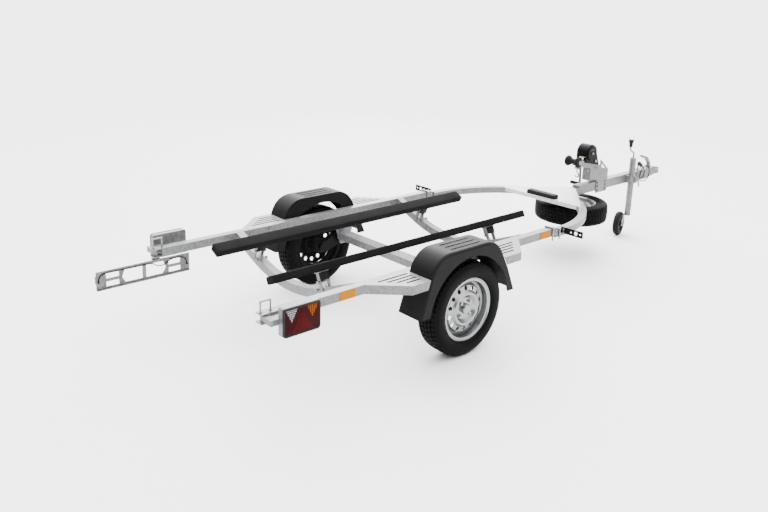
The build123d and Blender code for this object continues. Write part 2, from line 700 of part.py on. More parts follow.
def step(start, full, seat):
    """Folded sheet step beside the rail, with slots along it, ending at the mudguard."""
    ahead = 1 if start > 0 else -1
    end = ahead * STEP_INNER_END
    width = STEP_OUTER - RAIL_X
    slant = hypot(start - full, width)
    thin = SHEET * slant / width
    side = SHEET * abs(start - full) / width
    outline = [(RAIL_X, start), (STEP_OUTER, full), (STEP_OUTER, end), (RAIL_X, end)]
    near = RAIL_X + SHEET
    far = STEP_OUTER - SHEET
    inner = [(near, start - ahead * (thin + side)), (far, full - ahead * (thin - side)), (far, end),
             (near, end)]
    body = flat_plate(outline, FRAME_LOW, FRAME_TOP) - flat_plate(inner, FRAME_LOW - 1, FRAME_TOP - SHEET)
    guard_end = GUARD_REAR_FOOT + (FRAME_TOP - GUARD_BOTTOM) * (
        GUARD_REAR_CORNER - GUARD_REAR_FOOT) / (GUARD_TOP - GUARD_BOTTOM)
    if ahead > 0:
        guard_end = GUARD_KNEE - (FRAME_TOP - GUARD_KNEE_Z) * (
            GUARD_KNEE - GUARD_FRONT_CORNER) / (GUARD_TOP - GUARD_KNEE_Z)
    for k in range(SLOT_COUNT):
        x = SLOT_FIRST + k * SLOT_PITCH
        outer_end = start + (full - start) * (x - RAIL_X) / width - ahead * SLOT_FROM_EDGE
        inner_end = guard_end + ahead * SLOT_FROM_GUARD
        length = abs(outer_end - inner_end)
        slot = Pos(x, at((outer_end + inner_end) / 2), FRAME_TOP) * Rot(0, 0, 90)
        body -= slot * extrude(SlotOverall(length, SLOT_W), 4 * SHEET, both=True)
    return body - seat


# Bunks.

def bunk_place():
    """Plane across the right bunk: its X axis points outwards along the board, its Y axis up from it."""
    tilt = radians(BUNK_TILT)
    return Plane((BUNK_X, at(BUNK_REAR), BUNK_Z), x_dir=(cos(tilt), 0, sin(tilt)), z_dir=(0, -1, 0))


def bunk():
    board = extrude(bunk_place() * Rectangle(BUNK_W, BUNK_T), -(BUNK_FRONT - BUNK_REAR))
    return fillet(board.edges().filter_by(Axis.Y), BUNK_EDGE_R)


def bunk_bracket(station):
    """Cradle and packing block under the bunk, on two uprights that hold the crossbar between them."""
    plane = bunk_place()
    under = -BUNK_T / 2
    reach = TUBE / 2 + UPRIGHT_T
    shift = Pos(0, station - BUNK_REAR, 0)
    cradle = Pos(0, under - CRADLE_T / 2) * Rectangle(CRADLE_W, CRADLE_T)
    packing = Pos(0, under - CRADLE_T - BLOCK_HEIGHT / 2) * Rectangle(BLOCK_W, BLOCK_HEIGHT)
    upright = Pos(0, under - CRADLE_T - UPRIGHT_LENGTH / 2) * Rectangle(UPRIGHT_W, UPRIGHT_LENGTH)
    bracket = shift * extrude(plane * cradle, reach, both=True)
    bracket += shift * extrude(plane * packing, TUBE / 2, both=True)
    for side in (-1, 1):
        beside = Pos(0, side * (TUBE / 2 + UPRIGHT_T / 2), 0)
        bracket += beside * shift * extrude(plane * upright, UPRIGHT_T / 2, both=True)
    return bracket


# Swing-out lamp units.

def rail_end():
    """Two lugs and a web that close the rail and hold the hinge pin."""
    rear = RAIL_REAR - LUG_REACH
    end = block(RAIL_IN, RAIL_X, rear, RAIL_REAR, FRAME_LOW, FRAME_TOP)
    end -= block(RAIL_IN - 1, RAIL_X + 1, rear - 1, RAIL_REAR - LUG_T, FRAME_LOW + LUG_T, FRAME_TOP - LUG_T)
    return end - z_rod(PIN_R + RUNNING_FIT, RAIL_MID, PIVOT_Y, FRAME_LOW - 1, FRAME_TOP + 1)


def latch_ring():
    """Pull ring of the spring latch that stands on the rail's end."""
    rear = RAIL_REAR - LUG_REACH + 10
    front = rear + LATCH_SPAN
    top = FRAME_TOP + LATCH_HEIGHT
    return bent_rod([(RAIL_MID, rear, FRAME_TOP), (RAIL_MID, rear, top), (RAIL_MID, front, top),
                     (RAIL_MID, front, FRAME_TOP)], LATCH_ROD_R, 2 * LATCH_ROD_R)


def lamp_arm(pin_bottom):
    """Hinge pin, its hub and the arm that carries the lamp housing."""
    low = FRAME_LOW + LUG_T + LUG_GAP
    high = FRAME_TOP - LUG_T - LUG_GAP
    arm = z_rod(PIN_R, RAIL_MID, PIVOT_Y, pin_bottom, FRAME_TOP + 1)
    arm += z_rod(ARM_HUB_R, RAIL_MID, PIVOT_Y, low, high)
    arm += block(RAIL_MID + 10, HOUSING_BACK, PIVOT_Y - ARM_HUB_R, PIVOT_Y + ARM_HUB_R, low + 3, high - 3)
    return arm + block(RAIL_X + 14, HOUSING_BACK, PIVOT_Y - ARM_HUB_R, PIVOT_Y + 70, low + 3, high - 3)


def lamp_block(x0, x1, shrink):
    """Rounded slab with the lamp's outline, shrunk on each side."""
    rear = PIVOT_Y + LAMP_REAR_PAST_PIVOT
    low = LAMP_TOP - LAMP_HEIGHT + shrink
    slab = block(x0, x1, rear + shrink, rear + LAMP_LENGTH - shrink, low, LAMP_TOP - shrink)
    return fillet(slab.edges().filter_by(Axis.X), LAMP_CORNER_R - shrink)


def lamp_housing():
    front = HOUSING_BACK + HOUSING_DEPTH
    return lamp_block(HOUSING_BACK, front, 1) - lamp_block(HOUSING_BACK + PLATE_SHEET, front, 1 + PLATE_SHEET)


def lamp_lens():
    front = HOUSING_BACK + HOUSING_DEPTH
    return lamp_block(front, front + LENS_DEPTH, 0)


def plate_holder():
    """Sheet frame with windows, a raised seat for the number plate and folded top and bottom edges."""
    rear = -REAR_REACH
    middle = rear + PLATE_LENGTH / 2
    ends = PLATE_LAMP_L + PLATE_SEAT_GAP
    sheet = block(PLATE_OUTER, PLATE_INNER, rear, PLATE_FRONT, PLATE_LOW, PLATE_TOP)
    sheet += block(PLATE_OUTER - PLATE_SEAT, PLATE_OUTER, rear + ends, PLATE_FRONT - ends, PLATE_LOW,
                   PLATE_TOP - PLATE_SEAT_DROP)
    for side in (-1, 1):
        for window in PLATE_WINDOWS:
            outline = [(middle + side * y, PLATE_LOW + z) for y, z in window]
            sheet -= side_plate(outline, PLATE_OUTER - 2 * PLATE_SEAT, PLATE_INNER + 1)
    lip = PLATE_INNER + PLATE_FLANGE
    sheet += block(PLATE_INNER, lip, rear, PLATE_FRONT, PLATE_LOW, PLATE_LOW + PLATE_SHEET)
    tab = PIN_R + PLATE_TAB_EDGE
    low = PLATE_TOP - PLATE_SHEET
    return sheet + block(-RAIL_MID - tab, PLATE_OUTER, PIVOT_Y - tab, PIVOT_Y + tab, low, PLATE_TOP)


def plate_lights():
    """A small lamp at each end of the number plate, on the holder's outer face."""
    low = (PLATE_LOW + PLATE_TOP - PLATE_LAMP_H) / 2
    lamps = []
    for y in (PLATE_LAMP_INSET - REAR_REACH, PLATE_FRONT - PLATE_LAMP_INSET - PLATE_LAMP_L):
        lamp = block(PLATE_OUTER - PLATE_LAMP_D, PLATE_OUTER, y, y + PLATE_LAMP_L, low, low + PLATE_LAMP_H)
        lamps.append(fillet(lamp.faces().sort_by(Axis.X)[0].edges(), PLATE_LAMP_EDGE_R))
    return lamps


def plate_cable():
    """Cable clipped along the holder's inner face, with a slack loop under the hinge."""
    x = PLATE_INNER + PLATE_CABLE_R
    top = PLATE_TOP - PLATE_CABLE_DROP
    return cord([(x, along - REAR_REACH, top - drop) for along, drop in PLATE_CABLE_ROUTE], PLATE_CABLE_R)


# Winch and bow roller.

def deck_z(station):
    """Top of the sloping arm that carries the winch."""
    return DECK_Z - DECK_FALL * (station - DECK_START)


def winch_stand():
    """Two side plates on the drawbar, joined by a rear web, a deck and the roller's yoke."""
    half = DRAWBAR_HALF + STAND_T
    arm_z = deck_z(STAND_ARM_END)
    foot = DRAWBAR_LOW - STAND_UNDER
    outline = [(STAND_CLAMP_REAR, foot), (STAND_FRONT, foot), (STAND_FRONT, STAND_SHOULDER_Z),
               (STAND_BRACE_Y, STAND_BRACE_Z), (DECK_FRONT, deck_z(DECK_FRONT)), (STAND_ARM_END, arm_z),
               (STAND_ARM_END, arm_z - STAND_ARM_H), (STAND_REAR, STAND_WEB_TOP), (STAND_REAR, STAND_WEB_LOW),
               (STAND_CLAMP_REAR, STAND_WEB_LOW)]
    stand = Part()
    for x0 in (-half, DRAWBAR_HALF):
        stand += side_plate(outline, x0, x0 + STAND_T) - side_plate(STAND_HOLE, x0 - 1, x0 + STAND_T + 1)
    stand += block(-DRAWBAR_HALF, DRAWBAR_HALF, STAND_REAR, STAND_REAR + STAND_T, STAND_WEB_LOW,
                   STAND_WEB_TOP)
    rear = DRUM_Y - DRUM_R + DRUM_FLOOR_GAP
    deck = [(rear, deck_z(rear)), (DECK_FRONT, deck_z(DECK_FRONT)), (DECK_FRONT, deck_z(DECK_FRONT) - STAND_T),
            (rear, deck_z(rear) - STAND_T)]
    stand += side_plate(deck, -DRAWBAR_HALF, DRAWBAR_HALF)
    inner = ROLLER_HALF + YOKE_GAP
    rear = ROLLER_Y + ROLLER_END_R + YOKE_CLEAR
    low = ROLLER_Z - YOKE_LOW
    stand += block(-inner, inner, rear, rear + YOKE_T, low, ROLLER_Z - YOKE_TOP)
    cheek = [(rear + YOKE_T, low), (rear + YOKE_T, ROLLER_Z + YOKE_TOP),
             (ROLLER_Y - YOKE_TOP, ROLLER_Z + YOKE_EYE), (ROLLER_Y - YOKE_EYE, ROLLER_Z),
             (ROLLER_Y - YOKE_TOP, ROLLER_Z - YOKE_EYE)]
    for side in (-1, 1):
        stand += side_plate(cheek, *sorted((side * inner, side * (inner + YOKE_T))))
    return stand + x_rod(PIN_R, -inner - YOKE_T, inner + YOKE_T, ROLLER_Y, ROLLER_Z)


def bow_roller():
    half = ROLLER_HALF
    end = ROLLER_END_R
    points = [(half, PIN_R + RUNNING_FIT), (half, end - ROLLER_CHAMFER), (half - ROLLER_CHAMFER, end),
              (half * 0.7, end), (half * 0.22, ROLLER_NECK_R)]
    profile = points + [(-a, r) for a, r in reversed(points)]
    return Pos(0, at(ROLLER_Y), ROLLER_Z) * turned(profile)


def winch_frame():
    """Two side plates with a round top over the drum, joined by a floor and a guard over the drum."""
    inner = WINCH_HALF - WINCH_T
    rear_z = deck_z(WINCH_FOOT_REAR) + SEAT_GAP
    front_z = deck_z(WINCH_FOOT_FRONT) + SEAT_GAP
    web = [(WINCH_FOOT_REAR, rear_z), (DRUM_Y - COVER_R, DRUM_Z), (DRUM_Y + COVER_R, DRUM_Z),
           (WINCH_FOOT_FRONT, front_z)]
    winch = Part()
    for side in (-1, 1):
        x0, x1 = sorted((side * inner, side * WINCH_HALF))
        winch += side_plate(web, x0, x1) + x_rod(COVER_R, x0, x1, DRUM_Y, DRUM_Z)
    floor_y = DRUM_Y - DRUM_R + DRUM_FLOOR_GAP
    floor_z = deck_z(floor_y) + SEAT_GAP
    floor = [(floor_y, floor_z), (WINCH_FOOT_FRONT, front_z), (WINCH_FOOT_FRONT, front_z + WINCH_T),
             (floor_y, floor_z + WINCH_T)]
    winch += side_plate(floor, -inner, inner)
    guard = x_rod(COVER_R, -inner, inner, DRUM_Y, DRUM_Z)
    guard -= x_rod(COVER_R - WINCH_T, -inner, inner, DRUM_Y, DRUM_Z)
    winch += guard - block(-inner, inner, DRUM_Y - 2 * COVER_R, DRUM_Y + 2 * COVER_R, 0, DRUM_Z - GUARD_DROP)
    winch -= x_rod(DRUM_SHAFT_R, -inner, inner, DRUM_Y, DRUM_Z)
    return winch - x_rod(CRANK_SHAFT_R + RUNNING_FIT, -WINCH_HALF - 1, WINCH_HALF + 1, CRANK_Y, CRANK_Z)


def winch_cover():
    """Round cap on the winch's right side."""
    cap = x_rod(CAP_R, WINCH_HALF, WINCH_HALF + CAP_T, DRUM_Y, DRUM_Z)
    return fillet(cap.faces().sort_by(Axis.X)[-1].edges(), CAP_T * 0.6)


def winch_drum():
    """Drum with its wound strap between two flanges, and the strap's free end."""
    side_x = WINCH_HALF - WINCH_T
    reel = DRUM_HALF - 2 * DRUM_FLANGE
    drum = x_rod(DRUM_R, -reel, reel, DRUM_Y, DRUM_Z)
    for side in (-1, 1):
        x0, x1 = sorted((side * reel, side * (reel + DRUM_FLANGE)))
        drum += x_rod(DRUM_R + DRUM_FLANGE_RISE, x0, x1, DRUM_Y, DRUM_Z)
    drum += x_rod(DRUM_SHAFT_R, -side_x, side_x, DRUM_Y, DRUM_Z)
    return drum + side_plate(STRAP_OUTLINE, -STRAP_HALF, STRAP_HALF)


def winch_hook():
    """Snap hook in the strap's end."""
    y = (STRAP_OUTLINE[0][0] + STRAP_OUTLINE[-1][0]) / 2
    top = STRAP_OUTLINE[0][1] - HOOK_R
    eye = bent_rod([(x, y, top - drop) for x, drop in HOOK_EYE], HOOK_EYE_R, HOOK_EYE_R + 1)
    shank = bent_rod([(x, y, top - drop) for x, drop in HOOK_SHANK], HOOK_R, HOOK_BEND)
    return eye + shank


def crank():
    """Crank on the winch's left: shaft, arm and grip."""
    lean = radians(CRANK_LEAN)
    end_y = CRANK_Y + CRANK_LENGTH * sin(lean)
    end_z = CRANK_Z - CRANK_LENGTH * cos(lean)
    out = CRANK_OUT + CRANK_ARM_T
    dy = CRANK_ARM_HALF * cos(lean)
    dz = CRANK_ARM_HALF * sin(lean)
    arm = side_plate([(CRANK_Y - dy, CRANK_Z - dz), (CRANK_Y + dy, CRANK_Z + dz), (end_y + dy, end_z + dz),
                      (end_y - dy, end_z - dz)], -out, -CRANK_OUT)
    arm += x_rod(CRANK_ARM_HALF, -out, -CRANK_OUT, CRANK_Y, CRANK_Z)
    arm += x_rod(CRANK_ARM_HALF, -out, -CRANK_OUT, end_y, end_z)
    shaft = x_rod(CRANK_SHAFT_R, -out, WINCH_HALF + CRANK_SHAFT_OUT, CRANK_Y, CRANK_Z)
    grip_end = -out - CRANK_GRIP_GAP
    grip = x_rod(CRANK_GRIP_R, grip_end - CRANK_GRIP_L, grip_end, end_y, end_z)
    return shaft + arm + grip + x_rod(CRANK_PIN_R, grip_end, -out, end_y, end_z)


# Jockey wheel.

def jockey_clamp():
    """Split clamp on the drawbar's right side, with its toggle."""
    ring = JOCKEY_TUBE_R + CLAMP_WALL
    top = FRAME_TOP - CLAMP_DROP
    low = top - CLAMP_HEIGHT
    ear = JOCKEY_X + ring + CLAMP_EAR
    half = CLAMP_EAR_HALF
    clamp = z_rod(ring, JOCKEY_X, JOCKEY_Y, low, top)
    clamp += block(DRAWBAR_HALF, JOCKEY_X, JOCKEY_Y - ring, JOCKEY_Y + ring, low, top)
    clamp += block(JOCKEY_X, ear, JOCKEY_Y - half, JOCKEY_Y + half, low + half, top - half)
    clamp -= z_rod(JOCKEY_TUBE_R + JOCKEY_SLIDE_FIT, JOCKEY_X, JOCKEY_Y, low - 1, top + 1)
    x = ear - CLAMP_EAR / 2
    middle = low + CLAMP_HEIGHT / 2
    toggle = [(x, JOCKEY_Y + ahead, middle - drop) for ahead, drop in TOGGLE_POINTS]
    return clamp + bent_rod(toggle, TOGGLE_R, 2 * TOGGLE_R)


def jockey_tube():
    """Outer tube with its top cap, spindle crank and knob."""
    top = JOCKEY_TUBE_TOP
    tube = z_rod(JOCKEY_TUBE_R, JOCKEY_X, JOCKEY_Y, JOCKEY_TUBE_BOTTOM, top)
    tube -= z_rod(JOCKEY_BORE_R, JOCKEY_X, JOCKEY_Y, JOCKEY_TUBE_BOTTOM - 1, top - JOCKEY_CAP)
    low, bend, high = (top + rise for rise in SPINDLE_RISES)
    y = JOCKEY_Y - SPINDLE_BACK
    line = [(JOCKEY_Y, top - JOCKEY_CAP / 2), (JOCKEY_Y, low), (y, bend), (y, high)]
    spindle = bent_rod([(JOCKEY_X, station, z) for station, z in line], SPINDLE_R, SPINDLE_BEND)
    neck = top + KNOB_START
    knob = z_rod(KNOB_NECK_R, JOCKEY_X, y, neck, neck + KNOB_NECK)
    return tube + spindle + knob + z_rod(KNOB_R, JOCKEY_X, y, neck + KNOB_NECK, neck + KNOB_NECK + KNOB_HEAD)


def jockey_leg():
    """Inner tube that the spindle drives down."""
    outer = JOCKEY_BORE_R - JOCKEY_SLIDE_FIT
    foot = JOCKEY_TUBE_BOTTOM - JOCKEY_LEG_SHOW
    leg = z_rod(outer, JOCKEY_X, JOCKEY_Y, foot, JOCKEY_TUBE_TOP - JOCKEY_LEG_SHORT)
    return leg - z_rod(outer - JOCKEY_LEG_WALL, JOCKEY_X, JOCKEY_Y, foot + JOCKEY_CAP, JOCKEY_TUBE_TOP)


def jockey_frame(shape):
    """Turns a piece modelled along X and Y round the tube's axis to where the castor has swung."""
    return Pos(JOCKEY_X, at(JOCKEY_Y), 0) * Rot(0, 0, JOCKEY_TURN) * shape


def jockey_fork():
    """One-sided castor arm with the wheel's pin."""
    side = -(JOCKEY_TUBE_R + JOCKEY_SIDE_GAP - JOCKEY_ARM_T)
    outer = side - JOCKEY_ARM_T
    top = JOCKEY_TUBE_BOTTOM - JOCKEY_LEG_SHOW - SEAT_GAP
    half = JOCKEY_PLATE_T / 2
    plate = Pos(0, 0, top - half) * Cylinder(JOCKEY_TUBE_R - 1, JOCKEY_PLATE_T)
    plate += Pos(outer / 2, 0, top - half) * Box(-outer, 2 * JOCKEY_FOOT_HALF, JOCKEY_PLATE_T)
    foot = JOCKEY_FOOT_HALF
    outline = [(foot, top), (foot, top - 14), (foot - JOCKEY_TRAIL, JOCKEY_WHEEL_R - 18),
               (-foot - JOCKEY_TRAIL, JOCKEY_WHEEL_R - 18), (-foot - JOCKEY_TRAIL, JOCKEY_WHEEL_R + foot), (-foot, top)]
    arm = Pos(outer, 0, 0) * extrude(Plane.YZ * make_face(Polyline(outline, close=True)), JOCKEY_ARM_T)
    pin = Pos(outer - JOCKEY_WHEEL_W / 2 + 1, -JOCKEY_TRAIL, JOCKEY_WHEEL_R) * Rot(0, 90, 0)
    return jockey_frame(plate + arm + pin * Cylinder(JOCKEY_AXLE_R, JOCKEY_WHEEL_W + 14))


def jockey_wheel():
    """Solid rubber tyre on a plain hub."""
    r = JOCKEY_WHEEL_R
    half = JOCKEY_WHEEL_W / 2
    hub = JOCKEY_HUB_R
    right = [(half - 4, JOCKEY_AXLE_R + RUNNING_FIT), (half - 4, hub), (half - 14, hub + 2), (half - 14, r - 38),
             (half - 2, r - 34), (half, r - 24), (half - 2, r - 10), (half - 10, r - 2), (half - 16, r)]
    wheel = turned(right + [(-a, y) for a, y in reversed(right)])
    side = -(JOCKEY_TUBE_R + JOCKEY_SIDE_GAP) - half - 1
    return jockey_frame(Pos(side, -JOCKEY_TRAIL, r) * wheel)


# Coupling.

def coupling():
    """Sleeve over the drawbar's end and a head with a socket that opens downwards."""
    half = DRAWBAR_HALF + SLEEVE_WALL
    eye_out = half + EYE_REACH
    sleeve = block(-half, half, SLEEVE_REAR, NECK_Y, SLEEVE_LOW, SLEEVE_TOP)
    sleeve -= block(-DRAWBAR_HALF, DRAWBAR_HALF, SLEEVE_REAR - 1, DRAWBAR_FRONT, DRAWBAR_LOW, FRAME_TOP)
    sleeve += x_rod(EYE_R, half, eye_out, *WIRE_ROUTE[0][1:])
    head = side_plate(head_outline(), -HEAD_HALF, HEAD_HALF)
    nose = [e for e in head.edges().filter_by(Axis.Z) if e.center().Y > at(FRONT_REACH) - 1]
    head = fillet(nose, HEAD_NOSE_R) + x_rod(EYE_R, HEAD_HALF, eye_out, *WIRE_ROUTE[-1][1:])
    head -= Pos(0, at(BALL_Y), BALL_Z) * Sphere(BALL_R + SOCKET_FIT)
    return sleeve + (head - z_rod(BALL_R + SOCKET_FIT, 0, BALL_Y, SLEEVE_LOW - BALL_R, BALL_Z))


def head_outline():
    """The head's side outline as (station, Z) points, from its lower rear corner round the nose."""
    return [(NECK_Y, SLEEVE_LOW), (BALL_Y - 40, BALL_Z - 14), (FRONT_REACH - 14, BALL_Z - 14),
            (FRONT_REACH, BALL_Z - 4), (FRONT_REACH, BALL_Z + 12), (BALL_Y + 18, BALL_Z + 38),
            (BALL_Y - 48, BALL_Z + 52), (NECK_Y, SLEEVE_TOP)]


def coupling_lever():
    """Raised locking handle over the head."""
    outline = [(DRAWBAR_FRONT + ahead, SLEEVE_TOP + above) for ahead, above in LEVER_OUTLINE]
    return side_plate(outline, -LEVER_HALF, LEVER_HALF) - side_plate(head_outline(), -HEAD_HALF, HEAD_HALF)


def plug_point(along):
    """Point on the plug's axis, at a distance beyond the cable's end."""
    before, end = (Vector(x, at(y), z) for x, y, z in PLUG_CABLE_ROUTE[-2:])
    return end + (end - before).normalized() * along


def plug():
    """Round plug: tapered boot, body and collar, on the line in which the cable ends."""
    start = plug_point(0)
    axis = plug_point(1) - start
    whole = Part()
    for near, far, radius in ((0, 14, PLUG_BOOT_R), (14, 46, PLUG_BODY_R), (46, 60, PLUG_COLLAR_R)):
        whole += extrude(Plane(plug_point(near), z_dir=axis) * Circle(radius), far - near)
    return whole


def plug_bracket():
    """Cable gland and the strip that the plug is parked on, both on the drawbar's right side."""
    x, y, z = PLUG_CABLE_ROUTE[0]
    gland = block(DRAWBAR_HALF, x + 9, y - 16, y - 4, z - 9, z + 9)
    gland += Pos(x, at(y - 2), z) * Rot(90, 0, 0) * Cylinder(7, 4)
    parked = plug_point(30)
    station = parked.Y - AXLE_Y
    strip = block(DRAWBAR_HALF, DRAWBAR_HALF + SHEET, station - 10, station + 10, FRAME_LOW + 8, parked.Z + 6)
    reach = parked.X - PLUG_BODY_R - SEAT_GAP
    strip += block(DRAWBAR_HALF, reach, station - 6, station + 6, parked.Z - 6, parked.Z + 6)
    return [gland, strip]


# Spare wheel, markers and reflectors.

def spare_carrier():
    """Plate and spacer under the drawbar that clamp the spare's disc from both sides."""
    seat = SPARE_Z + RIM_OFFSET
    carrier = block(-DRAWBAR_HALF, DRAWBAR_HALF, SPARE_Y - 60, SPARE_Y + 60, DRAWBAR_LOW - 6, DRAWBAR_LOW)
    carrier += z_rod(HUB_CAP_R + 14, 0, SPARE_Y, seat + DISC_SHEET, DRAWBAR_LOW - 6)
    carrier += z_rod(10, 0, SPARE_Y, seat - 24, seat + DISC_SHEET)
    return carrier + z_rod(HUB_CAP_R + 18, 0, SPARE_Y, seat - 10, seat)


def marker_bracket():
    """Plate for a front marker lamp, out from the rail's front end, with three holes."""
    middle = FRAME_TOP - MARKER_DROP
    half = MARKER_HEIGHT / 2
    span = MARKER_OUTER - RAIL_X
    plate = block(RAIL_X, MARKER_OUTER, MARKER_Y, MARKER_Y + SHEET, middle - half, middle + half)
    for share, size in MARKER_HOLES:
        hole = Pos(RAIL_X + span * share, at(MARKER_Y), middle) * Rot(90, 0, 0)
        plate -= hole * Cylinder(span * size, 4 * SHEET)
    return plate


def side_reflectors():
    """Two reflectors on each rail's outer face."""
    pieces = []
    for station in (REFLECTOR_REAR, REFLECTOR_FRONT):
        piece = block(RAIL_X, RAIL_X + REFLECTOR_T, station - REFLECTOR_L / 2, station + REFLECTOR_L / 2,
                      FRAME_LOW + 2, FRAME_TOP - 2)
        pieces += pair(piece)
    return pieces


def pair(shape):
    """A piece and its mirror image."""
    return [shape, mirrored(shape)]


def build():
    """Every node's solids by name."""
    seat = guard_solid(-SEAT_GAP, GUARD_BOTTOM, RAIL_X - 1, GUARD_OUTER, 0)
    steps = [step(STEP_REAR_START, STEP_REAR_FULL, seat), step(STEP_FRONT_START, STEP_FRONT_FULL, seat)]
    brackets = pair(bunk_bracket(CROSSBAR_REAR)) + pair(bunk_bracket(CROSSBAR_FRONT))
    rim = rim_shape()
    tyre = tyre_shape()
    hub = [hub_shape()] + wheel_bolts()
    nodes = {
        "rail_right": [rail()],
        "rail_left": [mirrored(rail())],
        "bow_right": [bow()],
        "bow_left": [mirrored(bow())],
        "crossbars": [crossbar(CROSSBAR_REAR), crossbar(CROSSBAR_FRONT)],
        "drawbar": [drawbar()],
        "platform": [platform()],
        "platform_pad": [platform_pad()],
        "axle_beam": [axle_beam()],
        "axle_brackets": pair(axle_bracket()),
        "trailing_arms": pair(trailing_arm()),
        "mudguard_right": [mudguard()],
        "mudguard_left": [mirrored(mudguard())],
        "steps_right": steps,
        "steps_left": [mirrored(s) for s in steps],
        "bunks": pair(bunk()),
        "bunk_brackets": brackets,
        "rail_ends": pair(rail_end()),
        "latch_rings": pair(latch_ring()),
        "winch_stand": [winch_stand()],
        "winch_frame": [winch_frame()],
        "winch_cover": [winch_cover()],
        "winch_drum": [winch_drum()],
        "winch_hook": [winch_hook()],
        "winch_crank": [crank()],
        "bow_roller": [bow_roller()],
        "jockey_clamp": [jockey_clamp()],
        "jockey_tube": [jockey_tube()],
        "jockey_leg": [jockey_leg()],
        "jockey_fork": [jockey_fork()],
        "jockey_wheel": [jockey_wheel()],
        "coupling": [coupling()],
        "coupling_lever": [coupling_lever()],
        "plug_bracket": plug_bracket(),
        "plug": [plug()],
        "plug_cable": [cord(PLUG_CABLE_ROUTE, PLUG_CABLE_R)],
        "safety_wire": [cord(WIRE_ROUTE, WIRE_R)],
        "spare_carrier": [spare_carrier()],
        "spare_tyre": [spare_place() * tyre],
        "spare_rim": [spare_place() * rim],
        "marker_brackets": pair(marker_bracket()),
        "side_reflectors": side_reflectors(),
        "plate_holder": [plate_holder()],
        "plate_lights": plate_lights(),
        "plate_cable": [plate_cable()],
        "lamp_arm_right": [lamp_arm(FRAME_LOW - 1)],
        "lamp_arm_left": [mirrored(lamp_arm(PLATE_TOP))],
        "lamp_housing_right": [lamp_housing()],
        "lamp_housing_left": [mirrored(lamp_housing())],
        "lamp_lens_right": [lamp_lens()],
        "lamp_lens_left": [mirrored(lamp_lens())],
    }
    for name, side in (("right", 1), ("left", -1)):
        nodes["tyre_" + name] = [road_place(side) * tyre]
        nodes["rim_" + name] = [road_place(side) * rim]
        nodes["hub_" + name] = [road_place(side) * piece for piece in hub]
    return nodes


os.makedirs("parts", exist_ok=True)
for name, solids in build().items():
    shape = solids[0] if len(solids) == 1 else Compound(children=solids)
    export_step(shape, f"parts/{name}.step")
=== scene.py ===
"""Looks of the boat trailer: finishes, cables, tyres, bunk covers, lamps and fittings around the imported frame.

Metres. +Y points to the coupling, +Z up, the floor is Z = 0 and +X is the trailer's right side.
Stations along the trailer are measured from the wheel axle, forward positive, and pass through at().
"""

import json
from math import atan2, cos, hypot, pi, radians, sin

import bpy
from mathutils import Matrix, Vector


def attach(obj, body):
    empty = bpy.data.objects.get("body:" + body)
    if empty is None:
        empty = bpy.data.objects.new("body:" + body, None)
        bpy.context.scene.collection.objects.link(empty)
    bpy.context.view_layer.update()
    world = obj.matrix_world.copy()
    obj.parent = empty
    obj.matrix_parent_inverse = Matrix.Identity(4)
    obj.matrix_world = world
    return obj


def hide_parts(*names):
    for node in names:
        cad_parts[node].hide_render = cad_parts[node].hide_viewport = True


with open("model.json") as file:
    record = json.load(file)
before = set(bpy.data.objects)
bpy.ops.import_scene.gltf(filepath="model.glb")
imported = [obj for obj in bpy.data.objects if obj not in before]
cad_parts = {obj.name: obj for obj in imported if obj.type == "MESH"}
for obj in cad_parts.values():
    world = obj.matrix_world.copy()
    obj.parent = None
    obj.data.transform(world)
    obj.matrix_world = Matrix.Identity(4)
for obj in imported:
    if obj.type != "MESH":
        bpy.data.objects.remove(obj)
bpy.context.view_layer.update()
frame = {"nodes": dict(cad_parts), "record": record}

bl_info = {
    "name": "Boat trailer dresser",
    "version": (1, 0, 0),
    "blender": (4, 5, 0),
    "location": "3D View > Sidebar > Trailer",
    "description": "Gives the trailer's frame its finishes, cables, tyres, covers, lamps and fittings",
    "category": "Object",
}

SIDES = {"right": 1, "left": -1}
ALONG_X = (1, 0, 0)

AXLE_Y = -0.8275
WHEEL_X = 0.672
WHEEL_Z = 0.273
CROSSBARS = (-0.680, 0.660)
RAIL_INNER = 0.533
RAIL_OUTER = 0.583
BUNK_X = 0.280
BUNK_Z = 0.538
BUNK_REAR = -1.002
BUNK_LENGTH = 2.002
MUDGUARD_MOUTH = 0.313
SENSOR_MM = 36.0


def at(station):
    """Y of a station measured from the wheel axle."""
    return AXLE_Y + station


# Modelling helpers.

def deselect():
    """Leaves edit mode and deselects every object."""
    if bpy.context.object and bpy.context.object.mode != "OBJECT":
        bpy.ops.object.mode_set(mode="OBJECT")
    bpy.ops.object.select_all(action="DESELECT")


def pick(obj):
    """Makes one object the only selected and the active one."""
    deselect()
    obj.select_set(True)
    bpy.context.view_layer.objects.active = obj


def move(obj, matrix):
    """Applies a matrix on top of the object's place."""
    obj.matrix_world = matrix @ obj.matrix_world
    return obj


def handed(side):
    """Nothing for the right side, a mirror over the middle plane for the left."""
    return Matrix.Identity(4) if side > 0 else Matrix.Scale(-1, 4, ALONG_X)


def add_box(low, high):
    """Box between two corners."""
    deselect()
    middle = [(a + b) / 2 for a, b in zip(low, high)]
    bpy.ops.mesh.primitive_cube_add(size=1, location=middle)
    box = bpy.context.object
    box.scale = [b - a for a, b in zip(low, high)]
    bpy.ops.object.transform_apply(location=False, rotation=False, scale=True)
    return box


def add_rod(radius, start, end, sides=24):
    """Closed cylinder from one point to another."""
    deselect()
    start, end = Vector(start), Vector(end)
    run = end - start
    bpy.ops.mesh.primitive_cylinder_add(vertices=sides, radius=radius, depth=run.length, location=(start + end) / 2)
    rod = bpy.context.object
    rod.rotation_euler = run.to_track_quat("Z", "Y").to_euler()
    bpy.ops.object.transform_apply(location=False, rotation=True, scale=False)
    return rod


